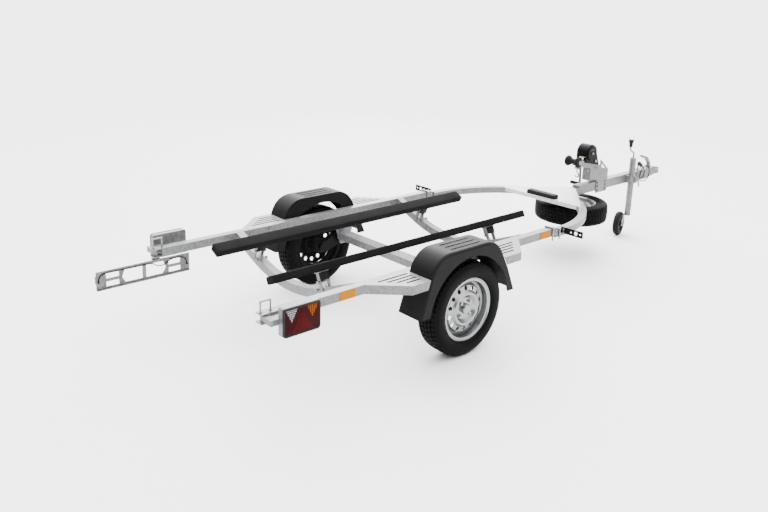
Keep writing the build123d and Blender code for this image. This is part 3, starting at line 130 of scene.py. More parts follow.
def bevel(obj, width, segments=2, angle=35):
    """Rounds the edges that are sharper than an angle."""
    pick(obj)
    mod = obj.modifiers.new("Edges", "BEVEL")
    mod.width = width
    mod.segments = segments
    mod.limit_method = "ANGLE"
    mod.angle_limit = radians(angle)
    bpy.ops.object.modifier_apply(modifier=mod.name)
    return obj


def open_edit(obj, mode="FACE"):
    """Turns to edit mode with nothing selected."""
    pick(obj)
    bpy.ops.object.mode_set(mode="EDIT")
    bpy.ops.mesh.select_mode(type=mode)
    bpy.ops.mesh.select_all(action="DESELECT")


def close_edit():
    """Turns back to object mode."""
    bpy.ops.object.mode_set(mode="OBJECT")


def select_faces(obj, test):
    """Selects the faces whose centre and normal pass a test, and stays in edit mode."""
    open_edit(obj)
    close_edit()
    for face in obj.data.polygons:
        face.select = test(face.center, face.normal)
    bpy.ops.object.mode_set(mode="EDIT")


def join(objs):
    """One object out of several."""
    deselect()
    for obj in objs:
        obj.select_set(True)
    bpy.context.view_layer.objects.active = objs[0]
    if len(objs) > 1:
        bpy.ops.object.join()
    return bpy.context.object


def copy_to(obj, matrix):
    """A copy with its own mesh, placed by a matrix."""
    twin = obj.copy()
    twin.data = obj.data.copy()
    bpy.context.collection.objects.link(twin)
    return move(twin, matrix)


def scatter(template, places):
    """Copies of a template at places, joined into one piece."""
    copies = [copy_to(template, place) for place in places]
    bpy.data.objects.remove(template)
    return join(copies)


def close_seams(threshold):
    """Merges doubles in edit mode, turns all faces outwards and leaves edit mode."""
    bpy.ops.mesh.select_all(action="SELECT")
    bpy.ops.mesh.remove_doubles(threshold=threshold)
    bpy.ops.mesh.normals_make_consistent(inside=False)
    close_edit()


def set_down(obj):
    """Moves the object's place into its mesh and makes its faces point outwards."""
    pick(obj)
    bpy.ops.object.transform_apply(location=True, rotation=True, scale=True)
    bpy.ops.object.mode_set(mode="EDIT")
    close_seams(0.00001)
    return obj


def fit(obj, name, body, finish, replaces=()):
    """Names, finishes and hangs a modelled piece on its body."""
    obj.name = name
    obj.data.name = name
    set_down(obj)
    pick(obj)
    bpy.ops.object.shade_smooth_by_angle(angle=radians(32))
    obj.data.materials.clear()
    obj.data.materials.append(finished(finish))
    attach(obj, body)
    if replaces:
        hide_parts(*replaces)


def ring_of_profile(points, steps):
    """Closed section of (axial, radius) points spun once round the X axis."""
    deselect()
    bpy.ops.mesh.primitive_circle_add(vertices=len(points), radius=0.01, fill_type="NOTHING")
    ring = bpy.context.object
    for vert, (axial, radius) in zip(ring.data.vertices, points):
        vert.co = (axial, 0, radius)
    pick(ring)
    bpy.ops.object.mode_set(mode="EDIT")
    bpy.ops.mesh.select_all(action="SELECT")
    bpy.ops.mesh.spin(steps=steps, angle=2 * pi, center=(0, 0, 0), axis=ALONG_X)
    close_seams(0.00002)
    return ring


# Shader helpers.

def feed(tree, socket, value):
    """Links a socket to its source, or sets its plain value."""
    if isinstance(value, bpy.types.NodeSocket):
        tree.links.new(value, socket)
    else:
        socket.default_value = value


def node(tree, kind, **values):
    """Adds a node and sets its properties and its inputs, which are named with _ for a space."""
    new = tree.nodes.new("ShaderNode" + kind)
    for key, value in values.items():
        if hasattr(new, key):
            setattr(new, key, value)
        else:
            feed(tree, new.inputs[key.replace("_", " ")], value)
    return new


def compute(tree, operation, *values, kind="Math", result="Value", clamp=False):
    """Result of a Math or VectorMath node on numbers, vectors or sockets."""
    step = node(tree, kind, operation=operation)
    if clamp:
        step.use_clamp = True
    for socket, value in zip(step.inputs, values):
        feed(tree, socket, value)
    return step.outputs[result]


def mix(tree, mask, dark, light):
    """Colour between two colours or sockets, by a mask."""
    blend = node(tree, "Mix", data_type="RGBA")
    feed(tree, blend.inputs[0], mask)
    for index, value in ((6, dark), (7, light)):
        feed(tree, blend.inputs[index], value if isinstance(value, bpy.types.NodeSocket) else (*value, 1))
    return blend.outputs[2]


def span(tree, value, low, high, to_low=0, to_high=1):
    """A value's range moved into another range."""
    ramp = node(tree, "MapRange", clamp=True, Value=value, From_Min=low, From_Max=high, To_Min=to_low, To_Max=to_high)
    return ramp.outputs["Result"]


def noise(tree, where, **values):
    """Noise between 0 and 1 at a place."""
    return node(tree, "TexNoise", Vector=where, **values).outputs["Fac"]


def axes(tree, vector):
    """Outputs X, Y and Z of a vector."""
    return node(tree, "SeparateXYZ", Vector=vector).outputs


# Shared shader groups. Each builder gets the group's inputs and returns its outputs in order.

def grain(tree, given):
    """Fine moulded grain: a height and a slight change of tone."""
    where = given["Vector"]
    return (noise(tree, where, Scale=given["Scale"], Detail=3.0, Roughness=0.6),
            noise(tree, where, Scale=7.0, Detail=4.0))


def spangle(tree, given):
    """Zinc crystals: tone and height of flat cells with cloudy streaks over them."""
    where = given["Vector"]
    cells = node(tree, "TexVoronoi", Vector=where, Scale=given["Scale"], Randomness=1.0)
    split = node(tree, "SeparateColor", Color=cells.outputs["Color"]).outputs
    cloud = noise(tree, where, Scale=5.0, Detail=5.0, Roughness=0.6)
    fine = noise(tree, where, Scale=600.0, Detail=2.0)
    return (compute(tree, "MULTIPLY_ADD", split["Red"], 0.45, compute(tree, "MULTIPLY", cloud, 0.55)),
            compute(tree, "MULTIPLY_ADD", split["Green"], 0.25, fine))


def rubbed_and_lit_edges(tree, given):
    """Lighter edges, partly rubbing and partly painted highlight, from the surface's pointiness broken up by noise."""
    edge = span(tree, node(tree, "NewGeometry").outputs["Pointiness"], 0.51, 0.60)
    broken = compute(tree, "MULTIPLY", edge, noise(tree, given["Vector"], Scale=60.0, Detail=4.0))
    return (compute(tree, "MULTIPLY", broken, given["Amount"], clamp=True),)


def road_dust(tree, given):
    """Road dust in patches."""
    patches = span(tree, noise(tree, given["Vector"], Scale=11.0, Detail=6.0, Roughness=0.65), 0.45, 0.75)
    return (compute(tree, "MULTIPLY", patches, given["Amount"], clamp=True),)


def slot_shade_mask(tree, given):
    """The walls of the slots in the steps, clear of the steps' slanted outer edges, which get painted shade."""
    slant, slots_end = 1.12, 0.585
    sheet_bottom, slots_inner, slots_outer = 0.5185, 0.5865, 0.7045
    place = axes(tree, given["Vector"])
    normal = axes(tree, node(tree, "NewGeometry").outputs["Normal"])
    side = compute(tree, "ABSOLUTE", place["X"])
    along = compute(tree, "ABSOLUTE", compute(tree, "SUBTRACT", place["Y"], at(0)))
    narrowing = compute(tree, "MULTIPLY", compute(tree, "SUBTRACT", side, RAIL_OUTER), slant)
    mask = compute(tree, "LESS_THAN", compute(tree, "ABSOLUTE", normal["Z"]), 0.5)
    for test in (compute(tree, "GREATER_THAN", place["Z"], sheet_bottom),
                 compute(tree, "GREATER_THAN", side, slots_inner), compute(tree, "LESS_THAN", side, slots_outer),
                 compute(tree, "LESS_THAN", compute(tree, "ADD", along, narrowing), slots_end)):
        mask = compute(tree, "MULTIPLY", mask, test)
    return (mask,)


def wheel_shade_masks(tree, given):
    """What of a road wheel faces or lies inwards, which gets painted shade, and the distance from the wheel's axis."""
    disc_inner = 0.676
    where = given["Vector"]
    normal = node(tree, "NewGeometry").outputs["Normal"]
    facing = compute(tree, "MULTIPLY", where, normal, kind="VectorMath", result="Vector")
    backs = compute(tree, "LESS_THAN", axes(tree, facing)["X"], -0.07)
    inner = compute(tree, "LESS_THAN", compute(tree, "ABSOLUTE", axes(tree, where)["X"]), disc_inner)
    flat = compute(tree, "MULTIPLY", where, (0, 1, 1), kind="VectorMath", result="Vector")
    return (compute(tree, "MAXIMUM", backs, inner),
            compute(tree, "DISTANCE", flat, (0, at(0), WHEEL_Z), kind="VectorMath"))


# Name of each group: its builder, its number inputs beside Vector, and its outputs.
GROUPS = {
    "Moulded grain": (grain, ["Scale"], ["Height", "Tone"]),
    "Zinc spangle": (spangle, ["Scale"], ["Tone", "Height"]),
    "Rubbed and lit edges": (rubbed_and_lit_edges, ["Amount"], ["Mask"]),
    "Road dust": (road_dust, ["Amount"], ["Mask"]),
    "Slot shade mask": (slot_shade_mask, [], ["Mask"]),
    "Wheel shade masks": (wheel_shade_masks, [], ["Inside", "Radius"]),
}


def shared_group(name):
    """The shader group of a name, built the first time it is asked for."""
    tree = bpy.data.node_groups.get(name)
    if tree:
        return tree
    build, inputs, outputs = GROUPS[name]
    tree = bpy.data.node_groups.new(name, "ShaderNodeTree")
    tree.interface.new_socket(name="Vector", in_out="INPUT", socket_type="NodeSocketVector")
    for label in inputs:
        tree.interface.new_socket(name=label, in_out="INPUT", socket_type="NodeSocketFloat")
    for label in outputs:
        tree.interface.new_socket(name=label, in_out="OUTPUT", socket_type="NodeSocketFloat")
    given = tree.nodes.new("NodeGroupInput").outputs
    outlet = tree.nodes.new("NodeGroupOutput")
    for label, value in zip(outputs, build(tree, given)):
        tree.links.new(value, outlet.inputs[label])
    return tree


def use_group(tree, name, where, **values):
    """Puts a shared group into a material and gives its outputs."""
    return node(tree, "Group", node_tree=shared_group(name), Vector=where, **values).outputs


# Materials. Each builder gets the material's tree, its Principled shader and object coordinates.

def grey(tone):
    """Colour with three equal parts."""
    return (tone, tone, tone)


def set_skin(tree, shader, bump, **values):
    """Feeds the shader's inputs, and its normal from a bump of (height, strength, distance)."""
    height, strength, distance = bump
    raised = node(tree, "Bump", Height=height, Strength=strength, Distance=distance)
    for key, value in {"Normal": raised.outputs["Normal"], **values}.items():
        feed(tree, shader.inputs[key.replace("_", " ")], value)


def metal(tree, shader, where, dark, light, rough, crystals, metallic, bump):
    """Zinc-like metal with crystals between two tones, so many to a metre, and edges lighter from rubbing and painted
    highlight.
    """
    cells = use_group(tree, "Zinc spangle", where, Scale=crystals)
    rubbed_lit_edges = use_group(tree, "Rubbed and lit edges", where, Amount=0.5)["Mask"]
    base = mix(tree, span(tree, cells["Tone"], 0.25, 0.75), dark, light)
    # Edges go a quarter lighter, partly as rubbing and partly as painted highlight.
    set_skin(tree, shader, (cells["Height"], bump, 0.0006),
             Base_Color=mix(tree, rubbed_lit_edges, base, [min(1, c * 1.25) for c in light]),
             Roughness=span(tree, cells["Tone"], 0.2, 0.8, rough - 0.08, rough + 0.1), Metallic=metallic)


def galvanised(tree, shader, where):
    """Hot-dip galvanised steel."""
    colours = bpy.context.scene.trailer_finish
    metal(tree, shader, where, colours.zinc_dark, colours.zinc_light, 0.42, 70.0, 0.5, 0.12)


def step_metal_slot_shade(tree, shader, where):
    """Galvanised steel with painted shade on the walls of its slots."""
    galvanised(tree, shader, where)
    base = shader.inputs["Base Color"].links[0].from_socket
    slots = use_group(tree, "Slot shade mask", where)["Mask"]
    # Painted shade: the slot walls go near black.
    feed(tree, shader.inputs["Base Color"], mix(tree, slots, base, grey(0.003)))


def rim_silver(tree, shader, where):
    """Silver paint with fine flake and a little dust in patches."""
    flake = use_group(tree, "Moulded grain", where, Scale=1400.0)
    dust = use_group(tree, "Road dust", where, Amount=0.35)["Mask"]
    base = mix(tree, flake["Tone"], (0.17, 0.173, 0.177), (0.33, 0.335, 0.34))
    set_skin(tree, shader, (flake["Height"], 0.04, 0.0003), Base_Color=mix(tree, dust, base, (0.10, 0.096, 0.09)),
             Roughness=span(tree, dust, 0, 0.3, 0.26, 0.45), Metallic=0.85, Coat_Weight=0.15)


def wheel_silver_shaded(tree, shader, where):
    """The rim's silver, with painted shade on the inner half and in the groove beside the outer lip."""
    flake = use_group(tree, "Moulded grain", where, Scale=1400.0)
    masks = use_group(tree, "Wheel shade masks", where)
    inside = masks["Inside"]
    base = mix(tree, flake["Tone"], (0.16, 0.162, 0.166), (0.32, 0.324, 0.33))
    # Painted shade: a darker band in the groove beside the outer lip.
    groove = span(tree, masks["Radius"], 0.1480, 0.1530)
    lip = span(tree, masks["Radius"], 0.1600, 0.1640)
    outer = mix(tree, lip, mix(tree, groove, base, (0.13, 0.132, 0.135)), base)
    # Painted shade: the inner half goes near black, rough and without metal shine.
    set_skin(tree, shader, (flake["Height"], 0.04, 0.0003), Base_Color=mix(tree, inside, outer, grey(0.006)),
             Roughness=span(tree, inside, 0, 1, 0.25, 0.8), Metallic=span(tree, inside, 0, 1, 0.85, 0.0),
             Specular_IOR_Level=0.1)


def moulded(tree, shader, where, dark, light, rough, scale, bump, rubbed_lit_edge_tone, dusty, shine):
    """Moulded plastic or rubber with grain, patchy tone, dust, and edges lighter from rubbing and painted highlight."""
    pores = use_group(tree, "Moulded grain", where, Scale=scale)
    rubbed_lit_edges = use_group(tree, "Rubbed and lit edges", where, Amount=0.35)["Mask"]
    dust = use_group(tree, "Road dust", where, Amount=dusty)["Mask"]
    base = mix(tree, dust, mix(tree, pores["Tone"], dark, light), [min(1, c + 0.008) for c in light])
    # Edges take a lighter tone, partly as rubbing and partly as painted highlight.
    set_skin(tree, shader, (pores["Height"], bump, 0.0008), Base_Color=mix(tree, rubbed_lit_edges, base, grey(rubbed_lit_edge_tone)),
             Roughness=span(tree, pores["Height"], 0.3, 0.7, rough - 0.07, rough + 0.07), Specular_IOR_Level=shine)


def guard_plastic(tree, shader, where):
    """The mudguards' grained plastic."""
    colours = bpy.context.scene.trailer_finish
    moulded(tree, shader, where, colours.guard_dark, colours.guard_light, 0.46, 900.0, 0.35, 0.018, 0.12, 0.04)


def bunk_covering(tree, shader, where):
    """Dense looped covering."""
    tone = use_group(tree, "Moulded grain", where, Scale=800.0)["Tone"]
    loops = node(tree, "TexVoronoi", Vector=where, Scale=330.0).outputs["Distance"]
    set_skin(tree, shader, (loops, 0.35, 0.001), Base_Color=mix(tree, tone, grey(0.003), (0.008, 0.008, 0.0085)),
             Roughness=span(tree, loops, 0, 0.6, 0.6, 0.85), Specular_IOR_Level=0.04)


def webbing(tree, shader, where):
    """Woven strap with fine cross ribs."""
    weave = node(tree, "TexWave", wave_type="BANDS", bands_direction="Z", Vector=where, Scale=260.0,
                 Distortion=1.0).outputs["Fac"]
    set_skin(tree, shader, (weave, 0.5, 0.0006), Base_Color=mix(tree, weave, (0.30, 0.31, 0.20), (0.46, 0.47, 0.34)),
             Roughness=span(tree, weave, 0, 1, 0.75, 0.9))


def lens(tree, shader, where, dark, light, prisms):
    """Moulded lens with rows of prisms, so many to a metre, behind a glossy skin."""
    cells = node(tree, "TexVoronoi", distance="CHEBYCHEV", Vector=where, Scale=prisms,
                 Randomness=0.0).outputs["Distance"]
    set_skin(tree, shader, (cells, 0.4, 0.0012), Base_Color=mix(tree, span(tree, cells, 0.2, 0.42), light, dark),
             Roughness=span(tree, cells, 0, 0.5, 0.12, 0.3), Coat_Weight=0.02, Coat_Roughness=0.12,
             Specular_IOR_Level=0.03)


# Each finish: the material's name, its builder and the builder's values in order. They are, for
# metal: dark, light, roughness, crystals to a metre, metallic and bump;
# moulded: dark, light, roughness, grain scale, bump, edge tone (lighter from rubbing and painted highlight), dust and
# shine;
# lens: dark, light and prisms to a metre.
FINISHES = {
    "galvanised": ("Galvanised steel", galvanised),
    "step": ("Galvanised step", step_metal_slot_shade),
    "tread": ("Tread sheet", metal, (0.30, 0.305, 0.31), (0.48, 0.485, 0.49), 0.36, 40.0, 0.5, 0.12),
    "zinc": ("Zinc plated steel", metal, (0.11, 0.11, 0.108), grey(0.24), 0.30, 220.0, 0.9, 0.05),
    "rim": ("Silver rim paint", rim_silver),
    "wheel": ("Road wheel paint", wheel_silver_shaded),
    "guard": ("Grained guard plastic", guard_plastic),
    "plastic": ("Black plastic", moulded, grey(0.003), (0.006, 0.006, 0.007), 0.38, 1200.0, 0.15, 0.03, 0.1, 0.12),
    "rubber": ("Moulded rubber", moulded, grey(0.003), grey(0.007), 0.62, 700.0, 0.25, 0.02, 0.1, 0.08),
    "tyre": ("Tyre rubber", moulded, (0.0013, 0.0013, 0.0014), (0.0036, 0.0036, 0.0039), 0.58, 500.0, 0.3, 0.007,
             0.08, 0.04),
    "sheath": ("Cable sheath", moulded, grey(0.0015), grey(0.003), 0.40, 300.0, 0.08, 0.01, 0.04, 0.08),
    "wire": ("Clear wire sheath", moulded, (0.62, 0.62, 0.60), (0.78, 0.78, 0.76), 0.3, 500.0, 0.08, 0.8, 0.1, 0.5),
    "black": ("Black paint", moulded, (0.0012, 0.0012, 0.0013), (0.0025, 0.0025, 0.0027), 0.40, 160.0, 0.12, 0.010,
              0.04, 0.05),
    "bunk": ("Bunk covering", bunk_covering),
    "strap": ("Strap webbing", webbing),
    "lens_red": ("Red lens", lens, (0.010, 0.0006, 0.0006), (0.034, 0.001, 0.001), 140.0),
    "lens_amber": ("Amber lens", lens, (0.012, 0.003, 0.0005), (0.30, 0.07, 0.001), 95.0),
    "lens_clear": ("Clear lens", lens, grey(0.006), (0.32, 0.32, 0.33), 95.0),
    "reflector_red": ("Red reflector", lens, (0.026, 0.0008, 0.0008), (0.062, 0.001, 0.001), 260.0),
    "reflector_amber": ("Amber reflector", lens, (0.30, 0.105, 0.0002), (0.44, 0.165, 0.0003), 300.0),
}


def finished(key):
    """The material of a finish, built the first time it is asked for."""
    name, build, *values = FINISHES[key]
    made = bpy.data.materials.get(name)
    if made is None:
        made = bpy.data.materials.new(name)
        made.use_nodes = True
        tree = made.node_tree
        build(tree, tree.nodes["Principled BSDF"], node(tree, "TexCoord").outputs["Object"], *values)
    return made


class TrailerFinish(bpy.types.PropertyGroup):
    """Colours of the large surfaces."""
    zinc_dark: bpy.props.FloatVectorProperty(
        name="Zinc, dark crystals", description="Darker tone of the galvanised steel",
        default=(0.075, 0.0765, 0.079), subtype="COLOR", size=3, min=0, max=1)
    zinc_light: bpy.props.FloatVectorProperty(
        name="Zinc, light crystals", description="Lighter tone of the galvanised steel",
        default=(0.165, 0.168, 0.172), subtype="COLOR", size=3, min=0, max=1)
    guard_dark: bpy.props.FloatVectorProperty(
        name="Mudguard, dark", description="Darker tone of the mudguard plastic",
        default=(0.0044, 0.0044, 0.0047), subtype="COLOR", size=3, min=0, max=1)
    guard_light: bpy.props.FloatVectorProperty(
        name="Mudguard, light", description="Lighter tone of the mudguard plastic",
        default=(0.0080, 0.0080, 0.0086), subtype="COLOR", size=3, min=0, max=1)


class TrailerView(bpy.types.PropertyGroup):
    """Where the camera stands, and its lens."""
    place: bpy.props.FloatVectorProperty(
        name="Place", description="Where the camera stands", size=3, default=(3.316, -3.8409, 1.973), unit="LENGTH")
    heading: bpy.props.FloatProperty(
        name="Heading", description="Turn to the left from looking along the trailer", default=radians(50.645),
        subtype="ANGLE")
    pitch: bpy.props.FloatProperty(
        name="Pitch", description="Tilt downwards", default=radians(13.713), subtype="ANGLE")
    roll: bpy.props.FloatProperty(
        name="Roll", description="Turn about the line of sight", default=radians(0.951), subtype="ANGLE")
    focal: bpy.props.FloatProperty(
        name="Focal length", description="Focal length in millimetres", default=35.73)
    shift_x: bpy.props.FloatProperty(
        name="Shift X", description="Sideways lens shift, in image widths", default=0.0513)
    shift_y: bpy.props.FloatProperty(
        name="Shift Y", description="Upwards lens shift, in image widths", default=-0.1042)


class TrailerTyre(bpy.types.PropertyGroup):
    """The road tyre's tread."""
    radius: bpy.props.FloatProperty(
        name="Radius", description="Outer radius of the tyre", default=0.273, unit="LENGTH")
    width: bpy.props.FloatProperty(
        name="Width", description="Width over the walls", default=0.150, unit="LENGTH")
    groove: bpy.props.FloatProperty(
        name="Groove depth", description="Depth of the tread grooves", default=0.006, unit="LENGTH")
    steps: bpy.props.IntProperty(
        name="Steps", description="Steps round the tyre, three to each tread block", default=168, min=60)


class TrailerBunk(bpy.types.PropertyGroup):
    """The bunk boards and their covering."""
    width: bpy.props.FloatProperty(
        name="Width", description="Width of a covered board", default=0.076, unit="LENGTH")
    thickness: bpy.props.FloatProperty(
        name="Thickness", description="Thickness of a covered board", default=0.045, unit="LENGTH")
    tilt: bpy.props.FloatProperty(
        name="Tilt", description="Outer edge up", default=radians(25), subtype="ANGLE")


class TrailerCables(bpy.types.PropertyGroup):
    """Diameters of the loose cables."""
    plug: bpy.props.FloatProperty(
        name="Plug cable", description="Diameter of the plug's cable", default=0.008, unit="LENGTH")
    plate: bpy.props.FloatProperty(
        name="Plate cable", description="Diameter of the number-plate lamps' cable", default=0.006, unit="LENGTH")
    wire: bpy.props.FloatProperty(
        name="Breakaway wire", description="Diameter of the breakaway wire", default=0.003, unit="LENGTH")


# The route of each loose cable, as in the frame: (X, station, Z) in metres.
PLUG_CABLE_ROUTE = [
    (0.041, 2.8041, 0.471), (0.041, 2.8341, 0.471), (0.052, 2.8701, 0.455), (0.070, 2.9101, 0.440),
    (0.080, 2.9561, 0.454), (0.082, 2.9841, 0.500), (0.082, 2.9701, 0.554), (0.082, 2.9241, 0.586),
    (0.082, 2.8741, 0.574), (0.076, 2.8501, 0.530), (0.066, 2.8581, 0.484), (0.058, 2.8961, 0.462),
    (0.054, 2.9381, 0.476), (0.053, 2.9541, 0.514), (0.053, 2.9361, 0.550), (0.053, 2.9031, 0.570)]
WIRE_ROUTE = [
    (0.040, 3.000, 0.462), (0.062, 3.000, 0.462), (0.082, 3.030, 0.444), (0.096, 3.074, 0.434),
    (0.100, 3.120, 0.442), (0.096, 3.158, 0.470), (0.080, 3.174, 0.502), (0.060, 3.150, 0.516),
    (0.040, 3.150, 0.516)]
PLATE_CABLE_ROUTE = [
    (-0.544, -1.571, 0.395), (-0.544, -1.571, 0.423), (-0.544, -1.551, 0.443), (-0.544, -1.501, 0.445),
    (-0.544, -1.411, 0.443), (-0.544, -1.321, 0.443), (-0.544, -1.255, 0.443), (-0.544, -1.230, 0.423),
    (-0.544, -1.200, 0.415), (-0.544, -1.170, 0.423), (-0.544, -1.145, 0.443), (-0.544, -1.095, 0.445),
    (-0.544, -1.060, 0.439), (-0.544, -1.039, 0.418), (-0.544, -1.038, 0.390)]


def lay_cable(name, route, diameter, body, finish, replaced):
    """A smooth cable along a route; its length is measured but not used."""
    deselect()
    line = bpy.data.curves.new(name, "CURVE")
    line.dimensions = "3D"
    line.resolution_u = 12
    spline = line.splines.new("NURBS")
    spline.points.add(len(route) - 1)
    for point, (x, station, z) in zip(spline.points, route):
        point.co = (x, at(station), z, 1)
    spline.order_u = 3
    spline.use_endpoint_u = True
    cable = bpy.data.objects.new(name, line)
    bpy.context.collection.objects.link(cable)
    bare = bpy.data.meshes.new_from_object(cable)
    pieces = ([bare.vertices[index].co for index in edge.vertices] for edge in bare.edges)
    length = sum((a - b).length for a, b in pieces)
    bpy.data.meshes.remove(bare)
    line.bevel_depth = diameter / 2
    line.bevel_resolution = 5
    line.use_fill_caps = True
    line.materials.append(finished(finish))
    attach(cable, body)
    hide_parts(replaced)
    x, station, z = route[0]


class TRAILER_OT_camera(bpy.types.Operator):
    """Stands the camera behind the trailer's right corner"""
    bl_idname = "trailer.camera"
    bl_label = "Camera"

    def execute(self, context):
        view = context.scene.trailer_view
        lens_data = bpy.data.cameras.new("Camera")
        lens_data.sensor_width = SENSOR_MM
        lens_data.lens = view.focal
        lens_data.shift_x = view.shift_x
        lens_data.shift_y = view.shift_y
        camera = bpy.data.objects.new("Camera", lens_data)
        context.collection.objects.link(camera)
        ahead = Vector((-sin(view.heading) * cos(view.pitch), cos(view.heading) * cos(view.pitch), -sin(view.pitch)))
        level = Vector((cos(view.heading), sin(view.heading), 0))
        upright = level.cross(ahead)
        right = cos(view.roll) * level + sin(view.roll) * upright
        up = -sin(view.roll) * level + cos(view.roll) * upright
        turn = Matrix((right, up, -ahead)).transposed()
        camera.matrix_world = Matrix.Translation(view.place) @ turn.to_4x4()
        context.scene.camera = camera
        return {"FINISHED"}


class TRAILER_OT_cables(bpy.types.Operator):
    """Lays the plug's cable, the number-plate lamps' cable and the breakaway wire"""
    bl_idname = "trailer.cables"
    bl_label = "Cables"

    def execute(self, context):
        sizes = context.scene.trailer_cables
        lay_cable("plug_lead", PLUG_CABLE_ROUTE, sizes.plug, "frame", "sheath", "plug_cable")
        lay_cable("plate_lamp_lead", PLATE_CABLE_ROUTE, sizes.plate, "lamp_unit_left", "sheath",
                  "plate_cable")
        lay_cable("breakaway_wire", WIRE_ROUTE, sizes.wire, "frame", "wire", "safety_wire")
        return {"FINISHED"}


def tyre_section(radius, width, groove):
    """The tyre's closed section as (axial, radius) points: outside from bead to bead, then the inside back."""
    half = width / 2
    outer = [(0.0517, 0.1683), (0.0517, 0.1826), (0.0600, 0.1858), (0.0660, 0.1900), (0.0700, 0.1960),
             (0.0706, 0.1985), (0.0722, 0.2010), (0.0742, 0.2120), (half, 0.2255), (half - 0.0007, 0.2370),
             (half - 0.0020, 0.2450), (half - 0.0030, 0.2475), (half - 0.0044, 0.2490), (half - 0.0075, 0.2580),
             (half - 0.0120, radius - 0.0090), (half - 0.0180, radius - 0.0045)]
    for axial in (0.0370, 0.0125):
        top = radius - 0.0030 * (axial / 0.055) ** 2
        outer += [(axial + 0.0040, top - 0.0006), (axial + 0.0030, top - groove), (axial - 0.0030, top - groove),
                  (axial - 0.0040, top)]
    inner = [(0.0300, radius - 0.0130), (0.0600, radius - 0.0240), (0.0640, 0.2255), (0.0530, 0.1950), (0.0420, 0.1683)]
    return (outer + [(-axial, r) for axial, r in reversed(outer)]
            + [(-axial, r) for axial, r in reversed(inner)] + inner)


def make_tyre(sizes):
    """Road tyre about the X axis: grooved tread, cross cuts in its ribs and rings on its walls."""
    tyre = ring_of_profile(tyre_section(sizes.radius, sizes.width, sizes.groove), sizes.steps)
    step = 2 * pi / sizes.steps

    def third(centre, normal, depth):
        """Which third of a tread block an outer face is in, or None under the given depth."""
        outwards = normal.y * centre.y + normal.z * centre.z > 0
        if not outwards or hypot(centre.y, centre.z) <= sizes.radius - depth:
            return None
        return int(round((atan2(centre.z, centre.y) % (2 * pi)) / step - 0.5)) % 3

    def on_shoulder(centre, normal):
        """Whether an outer face is a cross cut of the shoulder ribs."""
        return 0.041 < abs(centre.x) < 0.0640 and third(centre, normal, 0.0125) == 0

    def on_middle(centre, normal):
        """Whether an outer face is a cross cut of the middle ribs, staggered from side to side."""
        return abs(centre.x) < 0.0330 and third(centre, normal, 0.004) == (1 if centre.x > 0 else 2)

    for test in (on_shoulder, on_middle):
        select_faces(tyre, test)
        bpy.ops.mesh.inset(thickness=0.0018, depth=-sizes.groove * 0.75, use_boundary=True)
        close_edit()
    return tyre


class TRAILER_OT_tyres(bpy.types.Operator):
    """Puts treaded tyres on both road wheels and the spare"""
    bl_idname = "trailer.tyres"
    bl_label = "Tyres"

    def execute(self, context):
        spare_station, spare_z = 2.0, 0.340
        tyre = make_tyre(context.scene.trailer_tyre)
        right = Matrix.Translation((WHEEL_X, at(0), WHEEL_Z))
        left = Matrix.Translation((-WHEEL_X, at(0), WHEEL_Z)) @ Matrix.Rotation(pi, 4, "Z")
        spare = Matrix.Translation((0, at(spare_station), spare_z)) @ Matrix.Rotation(-pi / 2, 4, "Y")
        for name, body, place in (("tyre_right", "wheel_right", right), ("tyre_left", "wheel_left", left),
                                  ("spare_tyre", "frame", spare)):
            fit(copy_to(tyre, place), name + "_treaded", body, "tyre", [name])
        bpy.data.objects.remove(tyre)
        return {"FINISHED"}


def board_matrix(side, tilt, station):
    """Frame of a bunk board at a station: X across it with the outer edge up, Y along it and Z off its face."""
    across = Vector((cos(tilt), 0, sin(tilt)))
    along = Vector((0, 1, 0))
    turn = Matrix((across, along, across.cross(along))).transposed().to_4x4()
    return handed(side) @ Matrix.Translation((BUNK_X, at(station), BUNK_Z)) @ turn


class TRAILER_OT_bunks(bpy.types.Operator):
    """Covers the bunk boards and closes the covering under them"""
    bl_idname = "trailer.bunks"
    bl_label = "Bunks"

    def execute(self, context):
        sizes = context.scene.trailer_bunk
        inset, cuts = 0.0004, 40
        half = sizes.width / 2 - inset
        deep = sizes.thickness / 2 - inset
        for name, side in SIDES.items():
            board = add_box((-half, 0, -deep), (half, BUNK_LENGTH, deep))
            bevel(board, 0.008, 4)
            planes = [((0, BUNK_LENGTH * cut / cuts, 0), (0, 1, 0)) for cut in range(1, cuts)]
            planes += [((across, 0, 0), ALONG_X) for across in (-0.018, 0.0, 0.018)]
            open_edit(board)
            for point, normal in planes:
                bpy.ops.mesh.select_all(action="SELECT")
                bpy.ops.mesh.bisect(plane_co=point, plane_no=normal)
            close_edit()
            for vert in board.data.vertices:
                ripple = 0.0004 * sin(vert.co.y * 31) + 0.0003 * sin(vert.co.y * 73 + 2)
                if vert.co.z > deep * 0.9:
                    vert.co.z -= 0.0009 * (vert.co.x / half) ** 2 + inset + ripple
                elif vert.co.z < -deep * 0.9:
                    vert.co.z += inset + ripple
            overlap = add_box((-0.010, 0.004, -deep - 0.0003), (half - 0.009, BUNK_LENGTH - 0.004, -deep + 0.003))
            bevel(overlap, 0.001, 2)
            whole = move(join([board, overlap]), board_matrix(side, sizes.tilt, BUNK_REAR))
            fit(whole, "bunk_cover_" + name, "frame", "bunk", ["bunks"])
        return {"FINISHED"}


def hex_bolt(size, head):
    """Bolt head on its washer, standing up from Z = 0."""
    washer = add_rod(size * 1.15, (0, 0, 0), (0, 0, size * 0.16))
    bevel(washer, size * 0.05, 1)
    hexagon = add_rod(size, (0, 0, size * 0.16), (0, 0, size * 0.16 + head), 6)
    bevel(hexagon, size * 0.1, 2)
    return join([washer, hexagon])


